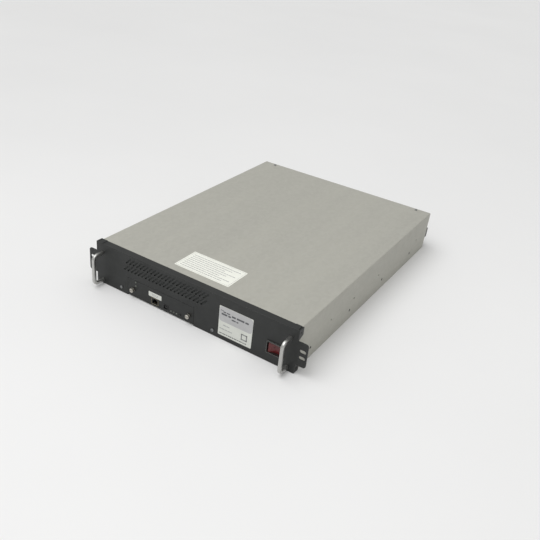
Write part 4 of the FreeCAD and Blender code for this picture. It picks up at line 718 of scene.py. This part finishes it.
# ---- printing ------------------------------------------------------------------------------------
@dataclass(frozen=True)
class TextRow:
    """One row of word-long bars on a sheet.

    The ends are shares of the sheet's width. The lower edge is a share of its height and a lift in
    millimetres, and the bars' height is in millimetres too.
    """

    layer: str
    ink: Finish
    start: float
    end: float
    level: float
    lift: float
    height: float
    seed: int


@dataclass
class PrintedSheet:
    """Generic printing on a label: bands, rules and rows of word-long bars, never letters."""

    node: str
    facing: Facing
    body: str
    ink_mm: float = 0.02
    ink_depth: float = 0.8
    word_lengths: tuple[float, float] = (1.6, 4.6)
    space: float = 0.55
    corner: float = 0.18
    corner_steps: int = 2
    shapes: dict[str, list[Rect]] = field(default_factory=dict)
    inks: dict[str, Finish] = field(default_factory=dict)

    def origin(self) -> Vector:
        """Finds the lower left corner of the sheet's printed face.

        Returns:
            The corner, in metres.
        """
        low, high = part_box(self.node)
        return Vector((low.x, low.y, high.z if self.facing is Facing.UP else low.z))

    def size(self) -> tuple[float, float]:
        """Measures the sheet.

        Returns:
            Its width and its height up the sheet, in millimetres.
        """
        low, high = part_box(self.node)
        rise = high.y - low.y if self.facing is Facing.UP else high.z - low.z
        return (high.x - low.x) / MM, rise / MM

    def rule(self, layer: str, ink: Finish, rect: Rect) -> None:
        """Adds one bar to a layer.

        Args:
            layer: The layer's name.
            ink: The layer's ink.
            rect: Left, right, low and high on the sheet, in millimetres.
        """
        self.shapes.setdefault(layer, []).append(rect)
        self.inks[layer] = ink

    def border(self, layer: str, ink: Finish, rect: Rect, line: float) -> None:
        """Adds four bars along the inside of a rectangle.

        Args:
            layer: The layer's name.
            ink: The layer's ink.
            rect: Left, right, low and high of the rectangle, in millimetres.
            line: Width of the bars.
        """
        left, right, low, high = rect
        for bar in ((left, right, low, low + line), (left, right, high - line, high),
                    (left, left + line, low, high), (right - line, right, low, high)):
            self.rule(layer, ink, bar)

    def words(self, layer: str, ink: Finish, left: float, right: float, low: float, height: float,
              seed: int) -> None:
        """Adds a row of bars as long as words, with gaps as wide as spaces.

        Args:
            layer: The layer's name.
            ink: The layer's ink.
            left: Start of the row, in millimetres.
            right: End of the row.
            low: Lower edge of the row.
            height: Height of the bars.
            seed: Seed of the row's word lengths.
        """
        lengths = random.Random(seed)
        x = left
        while x < right - height:
            word = min(height * lengths.uniform(*self.word_lengths), right - x)
            self.rule(layer, ink, (x, x + word, low, low + height))
            x += word + height * self.space

    def rows(self, rows: Iterable[TextRow]) -> None:
        """Adds rows of bars whose places are shares of the sheet.

        Args:
            rows: The rows, in order.
        """
        width, height = self.size()
        for row in rows:
            self.words(row.layer, row.ink, width * row.start, width * row.end,
                       height * row.level + row.lift, row.height, row.seed)

    def build(self) -> None:
        """Makes one piece for each layer of ink, each a little above the last."""
        lift = Vector((0, -1, 0)) if self.facing is Facing.FRONT else Vector((0, 0, 1))
        for level, (layer, rects) in enumerate(self.shapes.items(), start=1):
            mesh = bmesh.new()
            place = self.facing.matrix(self.origin() + lift * self.ink_mm * MM * level)
            for rect in rects:
                corner = min(rect[1] - rect[0], rect[3] - rect[2]) * self.corner
                solid_outline(mesh, scaled(rectangle(rect, corner, self.corner_steps)), [],
                              self.ink_mm * MM * self.ink_depth, place)
            add_piece(f"{self.node}_{layer}", mesh, self.inks[layer], self.body)


# Level of the large label's heading, as a share of its height.
HEADING = 0.79
FACE_ROWS = (
    TextRow("heading", TEXT_INK, 0.12, 0.32, HEADING, 0.8, 2.4, 3),
    TextRow("heading", TEXT_INK, 0.07, 0.35, HEADING, -4.4, 3.5, 5),
    TextRow("heading", TEXT_INK, 0.38, 0.95, HEADING, -2.0, 3.5, 8),
    TextRow("heading", TEXT_INK, 0.38, 0.58, HEADING, -8.4, 2.8, 11),
    TextRow("rows", PALE_INK, 0.14, 0.37, 0.36, 0.0, 1.6, 20),
    TextRow("rows", PALE_INK, 0.04, 0.42, 0.22, 0.0, 1.6, 21),
    TextRow("heading", TEXT_INK, 0.04, 0.86, 0.06, 0.0, 1.6, 24),
)
CARD_ROWS = (
    TextRow("rows", PALE_INK, 0.25, 0.75, 0.55, 0.0, 1.2, 60),
    TextRow("rows", PALE_INK, 0.3, 0.7, 0.25, 0.0, 1.2, 61),
)


@dataclass
class FaceLabel:
    """Large label on the face: a grey heading band over rows and a square mark."""

    margin: float = 0.5
    band_low: float = 0.49
    rule_ends: tuple[float, float] = (0.04, 0.13)
    rule_lifts: tuple[float, float] = (3.4, 4.6)
    mark_ends: tuple[float, float] = (0.69, 0.87)
    mark_low: float = 0.16
    mark_side: float = 0.18
    mark_line: float = 2.1

    def build(self) -> None:
        """Prints the label."""
        sheet = PrintedSheet("front_label", Facing.FRONT, "chassis")
        width, height = sheet.size()
        sheet.rule("band", BAND_INK, (self.margin, width - self.margin, height * self.band_low,
                                      height - self.margin))
        start, end = self.rule_ends
        low, high = self.rule_lifts
        sheet.rule("heading", TEXT_INK, (width * start, width * end, height * HEADING + low,
                                         height * HEADING + high))
        sheet.rows(FACE_ROWS)
        left, right = self.mark_ends
        base = height * self.mark_low
        sheet.border("mark", MARK_INK, (width * left, width * right, base,
                                        base + width * self.mark_side), self.mark_line)
        sheet.build()


@dataclass
class CoverLabel:
    """Paper label on the cover: a border around ragged rows of faint print."""

    edge: float = 2.5
    line: float = 0.35
    row_count: int = 8
    first_row: float = 11.0
    row_pitch: float = 6.2
    row_height: float = 1.6
    row_start: float = 7.0
    row_end: float = 0.93
    ragged: float = 0.11
    ragged_rows: int = 3
    first_seed: int = 40

    def build(self) -> None:
        """Prints the label."""
        sheet = PrintedSheet("top_label", Facing.UP, "chassis")
        width, depth = sheet.size()
        edge = self.edge
        sheet.border("border", PALE_INK, (edge, width - edge, edge, depth - edge), self.line)
        for number in range(self.row_count):
            end = width * (self.row_end - self.ragged * (number % self.ragged_rows))
            sheet.words("rows", PALE_INK, self.row_start, end,
                        depth - self.first_row - number * self.row_pitch, self.row_height,
                        self.first_seed + number)
        sheet.build()


@dataclass
class CardLabel:
    """Small label on the interface card: two faint rows."""

    rows: tuple[TextRow, ...] = CARD_ROWS

    def build(self) -> None:
        """Prints the label."""
        sheet = PrintedSheet("card_label", Facing.FRONT, "card")
        sheet.rows(self.rows)
        sheet.build()


# ---- interface card ------------------------------------------------------------------------------
@dataclass
class NetworkSocket:
    """Network socket: a thin plated shield around a black body with gold contact wires.

    All sizes are in millimetres.
    """

    shield: float = 0.35
    shield_corner: float = 0.5
    body_corner: float = 0.3
    body_inset: float = 0.25
    back_gap: float = 0.5
    mouth_width: float = 11.8
    mouth_height: float = 7.8
    mouth_depth: float = 13.0
    latch_width: float = 6.0
    latch_rise: float = 2.2
    sill: float = 1.9
    contact_count: int = 8
    contact_pitch: float = 1.02
    contact_wire: float = 0.36
    contact_start: float = 3.0
    contact_flat: float = 1.2
    contact_end: float = 12.6
    contact_low: float = 0.25
    contact_high: float = 3.1

    def mouth(self, middle: float, low: float) -> Outline:
        """Draws the stepped mouth of the socket.

        Args:
            middle: The mouth's middle across, in millimetres.
            low: The socket's underside.

        Returns:
            The mouth's corners in order.
        """
        half, step = self.mouth_width / 2, self.latch_width / 2
        base = low + self.sill
        top = base + self.mouth_height
        roof = top + self.latch_rise
        return [(middle - half, base), (middle + half, base), (middle + half, top),
                (middle + step, top), (middle + step, roof), (middle - step, roof),
                (middle - step, top), (middle - half, top)]

    def build(self) -> None:
        """Makes the shield, the body, its back wall and the contacts."""
        low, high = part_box("network_socket")
        left, right, base, top = low.x / MM, high.x / MM, low.z / MM, high.z / MM
        depth = high.y - low.y
        middle = (left + right) / 2
        inner: Rect = (left + self.shield, right - self.shield, base + self.shield,
                       top - self.shield)
        shield = bmesh.new()
        solid_outline(shield, scaled(rectangle((left, right, base, top), self.shield_corner)),
                      [scaled(rectangle(inner, self.body_corner))], depth,
                      Facing.FRONT.matrix(Vector((0, low.y, 0))))
        shell = add_piece("network_socket_shield", shield, SOCKET_SHIELD, "card")
        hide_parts("network_socket")
        body = bmesh.new()
        face = low.y + self.body_inset * MM
        mouth_depth = self.mouth_depth * MM
        solid_outline(body, scaled(rectangle(inner, self.body_corner)),
                      [scaled(self.mouth(middle, base))], mouth_depth,
                      Facing.FRONT.matrix(Vector((0, face, 0))))
        solid_outline(body, scaled(rectangle(inner, self.body_corner)), [],
                      depth - mouth_depth - self.back_gap * MM,
                      Facing.FRONT.matrix(Vector((0, face + mouth_depth, 0))))
        add_piece("network_socket_body", body, BLACK_PLASTIC, "card")
        self.contacts(middle, base, low.y)

    def contacts(self, middle: float, base: float, front: float) -> None:
        """Makes the row of sprung contact wires that slope back into the mouth.

        Args:
            middle: The mouth's middle across, in millimetres.
            base: The socket's underside.
            front: The socket's front face, in metres.
        """
        wires = bmesh.new()
        half = self.contact_wire / 2 * MM
        start, end = front + self.contact_start * MM, front + self.contact_end * MM
        low = (base + self.sill + self.contact_low) * MM
        high = (base + self.sill + self.contact_high) * MM
        for index in range(self.contact_count):
            x = (middle + (index - (self.contact_count - 1) / 2) * self.contact_pitch) * MM
            rings = []
            for y, z in ((start, low), (start + self.contact_flat * MM, low), (end, high)):
                corners = ((-half, -half), (half, -half), (half, half), (-half, half))
                rings.append([wires.verts.new((x + dx, y, z + dz)) for dx, dz in corners])
            for before, after in zip(rings, rings[1:]):
                for k in range(4):
                    wires.faces.new((before[k], before[(k + 1) % 4], after[(k + 1) % 4], after[k]))
            wires.faces.new(rings[0])
            wires.faces.new(rings[-1])
        add_piece("network_socket_contacts", wires, GOLD_CONTACT, "card")


@dataclass
class VentShadeFoam:
    """Sheet of foam behind the slanted vents, coloured as the painted shade seen through them."""

    left: float = -155.0
    right: float = 43.0
    low: float = 48.0
    high: float = 82.0
    behind: float = 2.2
    thickness: float = 3.0
    corner: float = 3.0

    def build(self) -> None:
        """Makes the foam sheet."""
        front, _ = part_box("front_panel")
        sheet = bmesh.new()
        place = Facing.FRONT.matrix(Vector((0, front.y + self.behind * MM, 0)))
        outline = rectangle((self.left, self.right, self.low, self.high), self.corner)
        solid_outline(sheet, scaled(outline), [], self.thickness * MM, place)
        add_piece("vent_shade_foam", sheet, VENT_SHADE_FOAM, "chassis")


# ---- CAD nodes -----------------------------------------------------------------------------------
@dataclass
class CarriedParts:
    """The CAD nodes, each given the finish of its slot, or one of its own."""

    frame: dict[str, Any]
    own: dict[str, Finish] = field(default_factory=lambda: OWN_FINISHES)

    def dress(self) -> None:
        """Gives every shown CAD node its material."""
        slots = {part["node"]: part["material_slot"] for part in self.frame["record"]["subparts"]}
        for name, node in self.frame["nodes"].items():
            finish = self.own.get(name, SLOT_FINISHES[slots[name]])
            material = finish.make()
            for place in node.material_slots:
                place.material = material
            LOG.info("node %s: %s", name, finish.name)


# ---- studio --------------------------------------------------------------------------------------
@dataclass
class Studio:
    """Pale floor, even surroundings, one broad far light and one soft box."""

    floor_half: float = 6.0
    floor_cells: int = 8
    floor_gap_mm: float = 0.2
    ambient: str = "f5f5f4"
    ambient_strength: float = 0.62
    key_from: tuple[float, float, float] = (-0.6, -0.5, 1.9)
    key_spread: float = 50.0
    key_strength: float = 1.2
    fill_from: tuple[float, float, float] = (0.0, -0.95, 1.35)
    fill_size: float = 1.4
    fill_watts: float = 4.6

    def floor(self) -> None:
        """Makes the pale floor just under the feet of the case."""
        low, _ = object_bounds()
        mesh = bmesh.new()
        bmesh.ops.create_grid(mesh, x_segments=self.floor_cells, y_segments=self.floor_cells,
                              size=self.floor_half)
        bmesh.ops.translate(mesh, verts=mesh.verts, vec=(0, 0, low.z - self.floor_gap_mm * MM))
        data = bpy.data.meshes.new("studio_floor")
        mesh.to_mesh(data)
        mesh.free()
        data.materials.append(STUDIO_FLOOR.make())
        floor = bpy.data.objects.new("studio_floor", data)
        bpy.context.scene.collection.objects.link(floor)
        floor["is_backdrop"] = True

    def surroundings(self) -> None:
        """Fills the shadows with an even pale light."""
        world = bpy.data.worlds.new("studio")
        bpy.context.scene.world = world
        world.use_nodes = True
        background = world.node_tree.nodes["Background"]
        background.inputs["Color"].default_value = linear(self.ambient)
        background.inputs["Strength"].default_value = self.ambient_strength

    def hang(self, data: bpy.types.Light, place: tuple[float, float, float]) -> None:
        """Hangs a light so that it faces the object.

        Args:
            data: The light.
            place: Where it hangs, in metres, or the side that a far light shines from.
        """
        light = bpy.data.objects.new(data.name, data)
        light.location = place
        light.rotation_euler = Vector(place).to_track_quat("Z", "Y").to_euler()
        bpy.context.scene.collection.objects.link(light)
        LOG.info("light %s", data.name)

    def build(self) -> None:
        """Sets up the floor, the surroundings and the lights."""
        self.floor()
        self.surroundings()
        key = bpy.data.lights.new("key_overhead", "SUN")
        key.angle = math.radians(self.key_spread)
        key.energy = self.key_strength
        self.hang(key, self.key_from)
        fill = bpy.data.lights.new("fill_front", "AREA")
        fill.shape = "SQUARE"
        fill.size = self.fill_size
        fill.energy = self.fill_watts
        self.hang(fill, self.fill_from)


# Units across the frame in which the camera's focal length and shift are given.
FRAME_SIDE = 540.0


@dataclass
class ViewCamera:
    """Camera that looks down at the front right corner of the case."""

    place_mm: tuple[float, float, float] = (577.81, -1068.27, 677.32)
    azimuth: float = 31.511
    elevation: float = 31.385
    roll: float = 4.667
    focal: float = 651.4 / FRAME_SIDE
    shift: tuple[float, float] = (30.0 / FRAME_SIDE, 15.0 / FRAME_SIDE)
    sensor: float = 36.0

    def build(self) -> None:
        """Makes the camera and hands it to the scene."""
        data = bpy.data.cameras.new("view_camera")
        data.sensor_width = self.sensor
        data.lens = self.focal * self.sensor
        data.shift_x, data.shift_y = self.shift
        camera = bpy.data.objects.new("view_camera", data)
        azimuth, elevation = math.radians(self.azimuth), math.radians(self.elevation)
        back = Vector((math.sin(azimuth) * math.cos(elevation),
                       -math.cos(azimuth) * math.cos(elevation), math.sin(elevation)))
        level = Vector((0, 0, 1)).cross(back).normalized()
        above = back.cross(level)
        turn = math.asin(math.sin(math.radians(self.roll)) / math.cos(elevation))
        right = level * math.cos(turn) + above * math.sin(turn)
        up = back.cross(right)
        matrix = Matrix((right, up, back)).transposed().to_4x4()
        matrix.translation = Vector(self.place_mm) * MM
        camera.matrix_world = matrix
        bpy.context.scene.collection.objects.link(camera)
        bpy.context.scene.camera = camera


def main() -> None:
    """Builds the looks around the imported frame."""
    logging.basicConfig(level=logging.INFO, format="%(message)s")
    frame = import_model()
    bpy.context.scene.view_settings.view_transform = "Standard"
    CarriedParts(frame).dress()
    NetworkSocket().build()
    VentShadeFoam().build()
    for label in (FaceLabel(), CoverLabel(), CardLabel()):
        label.build()
    Studio().build()
    ViewCamera().build()


if __name__ == "__main__":
    main()
